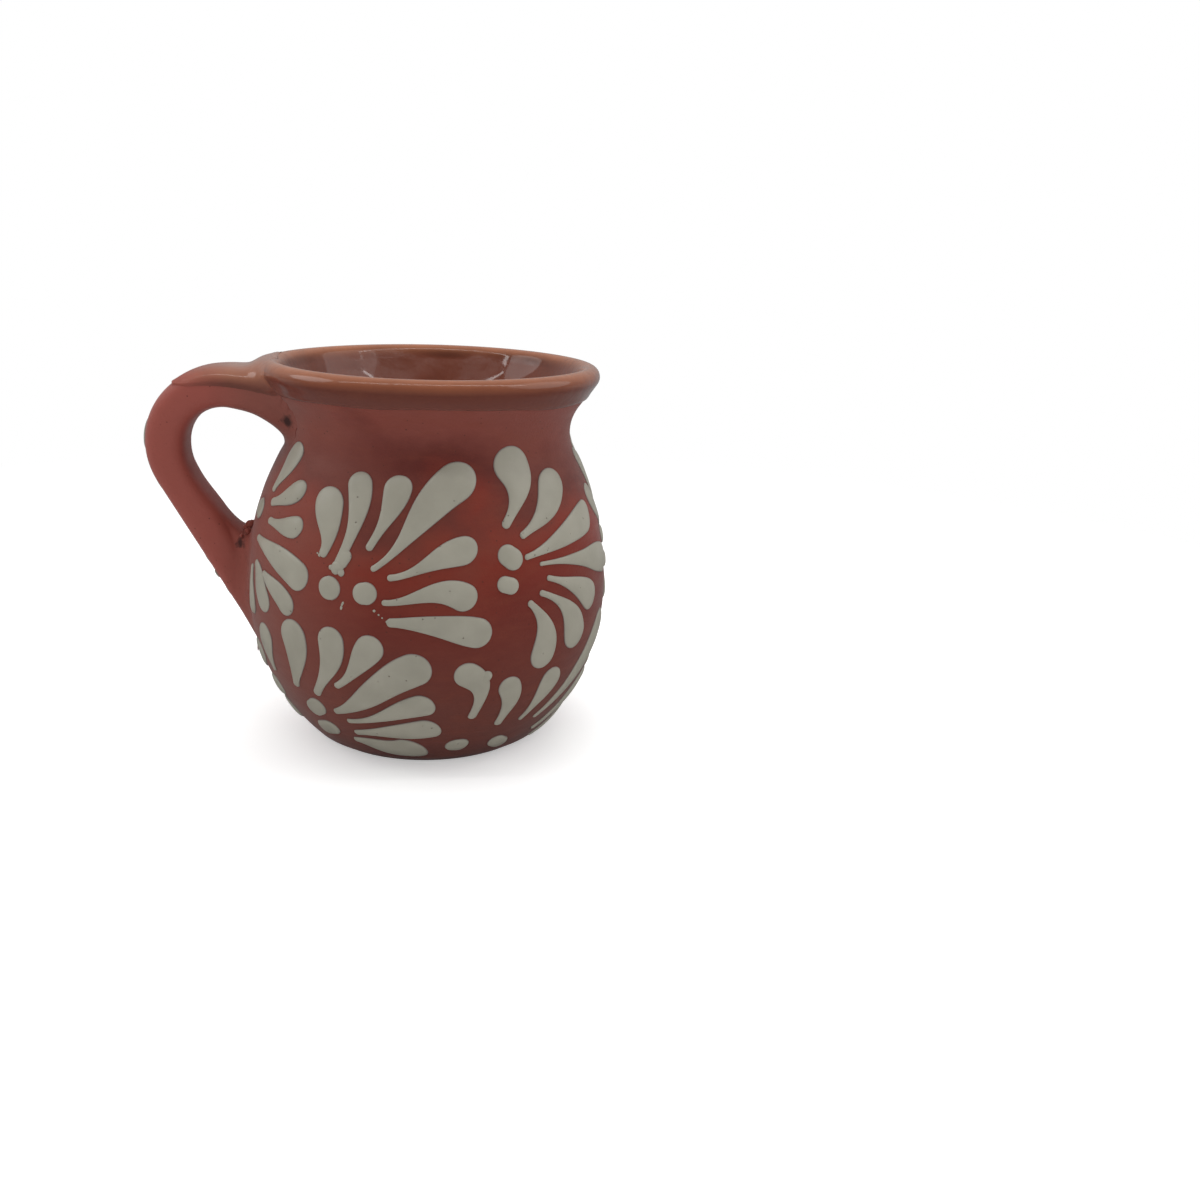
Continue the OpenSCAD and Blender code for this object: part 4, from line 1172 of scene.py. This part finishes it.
# %% [markdown]
# Clear glaze is glass over the same clay: a warm orange brown on top of the
# lip, partly its own tone and partly painted light from above, with painted
# shade just under the lip's roll, darker and redder down the inside, and
# lightest on the top of the arm, again partly painted light, with a sharp gloss
# and a faint ripple. Inside it lies over the dents of the fingers. At the
# handle's bend it thins out, so its gloss fades there and its tone fades to the
# strap's paler tone, which is painted light.

# %% The clear glaze
GLAZE_LOW = 78 * MM
GLAZE_HIGH = 94.6 * MM
BEND_X = (-58 * MM, -46 * MM)


def glaze_material():
    """Tones up the lip, then the tones inside, on the arm and at the bend, by their numbers."""
    material, tree, where = new_material("clear_glaze_on_clay")
    cloud = noise(tree, where, 14 * MM, 4)
    fine = noise(tree, where, 2.4 * MM, 3, 0.6)
    inside = add(tree, "Attribute", attribute_name="inside").outputs["Fac"]
    on_arm = add(tree, "Attribute", attribute_name="on_arm").outputs["Fac"]
    # At the bend the glaze thins: its gloss fades, and its tone fades to the strap's paler tone, which
    # is painted light.
    thin = span(tree, axis(tree, where, "X"), *BEND_X, 1, 0)
    # Up the lip: painted shade just under the roll, and lighter on top of the roll, partly the glaze's
    # own tone and partly painted light from above.
    colour = ramp(tree, span(tree, axis(tree, where, "Z"), GLAZE_LOW, GLAZE_HIGH), [
        (0.0, (0.165, 0.060, 0.046)), (0.50, (0.165, 0.058, 0.044)),
        (0.68, (0.150, 0.047, 0.035)), (0.80, (0.140, 0.036, 0.022)),
        (0.90, (0.270, 0.085, 0.040)), (1.0, (0.430, 0.160, 0.078)),
    ])
    # Blends by the numbers: redder inside, lighter over the top of the arm, partly painted light, the
    # strap's painted-light tone at the bend, and clouds of tone.
    for factor, tone in [
        (inside, (0.190, 0.046, 0.022)),
        (on_arm, (0.400, 0.165, 0.100)),
        (thin, (0.360, 0.084, 0.060)),
        (span(tree, cloud, 0.35, 0.7, 0, 0.3), (0.140, 0.042, 0.026)),
        (span(tree, fine, 0.5, 0.75, 0, 0.2), (0.200, 0.065, 0.034)),
    ]:
        colour = blend(tree, factor, colour, tone)
    lumps = span(tree, noise(tree, where, 18 * MM, 1), 0.3, 0.7, -1, 1)
    normal = bump(tree, noise(tree, where, 5 * MM, 2), 0.25 * MM)
    normal = bump(tree, calc(tree, "MULTIPLY", lumps, inside), 0.8 * MM, normal)
    finish_material(tree, {"Base Color": colour, "Roughness": span(tree, thin, 0, 1, 0.3, 0.55),
                           "Normal": normal, "Specular IOR Level": 0.3,
                           "Coat Weight": span(tree, thin, 0, 1, 0.7, 0), "Coat Roughness": 0.06})
    return material


# %% [markdown]
# The slip is an off-white clay that dried with a soft sheen. It is greyish
# mauve at its edge, partly where the thin slip lets the red clay show through
# and partly as painted shade round the stroke's rim, creamy on its crown, and
# here and there it has a pinhole.

# %% The white slip
def slip_material():
    """Cream in two tones, a mauve grey towards the edge, partly the clay showing through and partly
    painted shade, and the pinholes.
    """
    material, tree, where = new_material("white_slip")
    edge = add(tree, "Attribute", attribute_name="edge").outputs["Fac"]
    holes = specks(tree, where, 3.1 * MM)
    cloud = span(tree, noise(tree, where, 7 * MM, 4), 0.35, 0.7)
    cream = blend(tree, cloud, (0.370, 0.350, 0.287), (0.325, 0.308, 0.250))
    # Mauve grey at the edge: partly clay through thin slip, partly painted shade round the rim.
    edged = blend(tree, span(tree, edge, 0.93, 1.0), cream, (0.200, 0.150, 0.145))
    colour = blend(tree, span(tree, holes, 0.035, 0.07, 0.85, 0), edged, (0.130, 0.105, 0.085))
    normal = bump(tree, noise(tree, where, 0.7 * MM, 3, 0.6), 0.03 * MM)
    normal = bump(tree, span(tree, holes, 0.03, 0.1), 0.12 * MM, normal)
    finish_material(tree, {"Base Color": colour, "Roughness": 0.36, "Normal": normal,
                           "Specular IOR Level": 0.4})
    return material


# %% [markdown]
# Each piece names its finish by a slot: clay for the pot and the handle, glaze
# for the two coats, and slip for the ornament. One material for each slot keeps
# the pieces alike.

# %% Give every piece its finish
finishes = {"clay": clay_material(), "rim_glaze": glaze_material(), "slip": slip_material()}
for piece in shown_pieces():
    piece.data.materials.clear()
    piece.data.materials.append(finishes[piece["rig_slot"]])

# %% [markdown]
# The stage is a pale floor that fades into a white surround, lit from above by
# one broad soft light, from the sides by two weaker ones, and from the front by a
# narrow strip that draws the thin line of light along the lip. Glaze mirrors
# what is round it, so reflections see the surround dim in front and brighter
# behind, and the light from above leaves no highlight.

# %% Floor, surround and lights
SEEN = 1.0
LIGHTING = 0.56
MIRRORED_FRONT = 0.05
MIRRORED_BACK = 0.34
FLOOR_R = 6.0
FLOOR_GLOW = 0.4
FLOOR_TONE = (0.86, 0.86, 0.86, 1)
FLOOR_FADE = (0.12, 0.4)
FLOOR_BACK = (-0.05, 0.25)
SKY_BACK = (0.0, 0.6)
AIM = (0, 0, 0.05)


def by_ray(tree, seen, mirrored, otherwise):
    """A strength that is one value seen directly, one in reflections, and one as lighting."""
    rays = add(tree, "LightPath").outputs
    base = span(tree, rays["Is Camera Ray"], 0, 1, otherwise, seen)
    change = calc(tree, "SUBTRACT", mirrored, otherwise)
    return calc(tree, "ADD", base, calc(tree, "MULTIPLY", rays["Is Glossy Ray"], change))


bpy.ops.mesh.primitive_circle_add(vertices=96, radius=FLOOR_R, fill_type="NGON")
floor = bpy.context.object
floor.name = "floor"
floor_material, tree, where = new_material("pale_floor")
far = add(tree, "VectorMath", {0: where}, operation="LENGTH")
fade = span(tree, far.outputs["Value"], *FLOOR_FADE)
matt = add(tree, "BsdfDiffuse", {"Color": FLOOR_TONE})
glow = add(tree, "Emission", {"Strength": by_ray(tree, FLOOR_GLOW, 0, 0)})
near = add(tree, "AddShader", {0: matt.outputs[0], 1: glow.outputs[0]})
white = add(tree, "Emission", {"Strength": SEEN})
mixed = add(tree, "MixShader", {0: fade, 1: near.outputs[0], 2: white.outputs[0]})
behind = span(tree, axis(tree, where, "Y"), *FLOOR_BACK, MIRRORED_FRONT, MIRRORED_BACK)
dim = add(tree, "Emission", {"Strength": behind})
glossy = add(tree, "LightPath").outputs["Is Glossy Ray"]
dimmed = add(tree, "MixShader", {0: glossy, 1: mixed.outputs[0], 2: dim.outputs[0]})
add(tree, "OutputMaterial", {0: dimmed.outputs[0]})
floor.data.materials.append(floor_material)

world = bpy.data.worlds.new("soft_surround")
bpy.context.scene.world = world
world.use_nodes = True
tree = world.node_tree
tree.nodes.clear()
backward = axis(tree, add(tree, "TexCoord").outputs["Generated"], "Y")
behind = span(tree, backward, *SKY_BACK, MIRRORED_FRONT, MIRRORED_BACK)
sky = add(tree, "Background", {"Color": (1, 1, 1, 1), "Strength": by_ray(tree, SEEN, behind, LIGHTING)})
add(tree, "OutputWorld", {0: sky.outputs[0]})


def soft_light(name, place, size, power, height=None, mirrored=True):
    """An area light that faces the mug: round, or a strip of the given height. One that is not
    mirrored leaves no highlight."""
    light = bpy.data.lights.new(name, "AREA")
    light.shape = "DISK" if height is None else "RECTANGLE"
    light.size = size
    light.size_y = size if height is None else height
    light.energy = power
    lamp = bpy.data.objects.new(name, light)
    lamp.visible_glossy = mirrored
    lamp.location = place
    way = np.array(AIM) - np.array(place)
    flat = math.hypot(way[0], way[1])
    lamp.rotation_euler = (math.atan2(flat, -way[2]), 0, math.atan2(way[1], way[0]) - math.pi / 2)
    bpy.context.scene.collection.objects.link(lamp)


soft_light("top", (0.0, 0.3, 0.75), 1.1, 3.4, mirrored=False)
soft_light("left_window", (-0.6, 0.05, 0.45), 0.4, 0.7)
soft_light("right_window", (0.6, -0.05, 0.45), 0.6, 0.8)
soft_light("front_strip", (0.0, -0.3, 1.2), 2.4, 3.2, height=0.06)

# %% [markdown]
# The camera stands where the photographer stood, a little above the rim, with
# the same small tilt to one side.

# %% The camera
CAMERA_PLACE = (0, -0.28855, 0.12474)
CAMERA_TURN = math.radians(8.889)
CAMERA_PITCH = math.radians(17.515)
CAMERA_ROLL = math.radians(2.42)
SENSOR_MM = 36
LENS_MM = 34.25
camera_data = bpy.data.cameras.new("camera")
camera_data.sensor_width = SENSOR_MM
camera_data.lens = LENS_MM
camera = bpy.data.objects.new("camera", camera_data)
camera.location = CAMERA_PLACE
forward = np.array([math.sin(CAMERA_TURN) * math.cos(CAMERA_PITCH),
                    math.cos(CAMERA_TURN) * math.cos(CAMERA_PITCH), -math.sin(CAMERA_PITCH)])
level = np.array([math.cos(CAMERA_TURN), -math.sin(CAMERA_TURN), 0])
upright = np.cross(level, forward)
right = math.cos(CAMERA_ROLL) * level + math.sin(CAMERA_ROLL) * upright
up = np.cross(right, forward)
camera.rotation_euler = Matrix(np.stack([right, up, -forward], 1).tolist()).to_euler()
bpy.context.scene.collection.objects.link(camera)
bpy.context.scene.camera = camera
bpy.context.scene.view_settings.view_transform = "Standard"
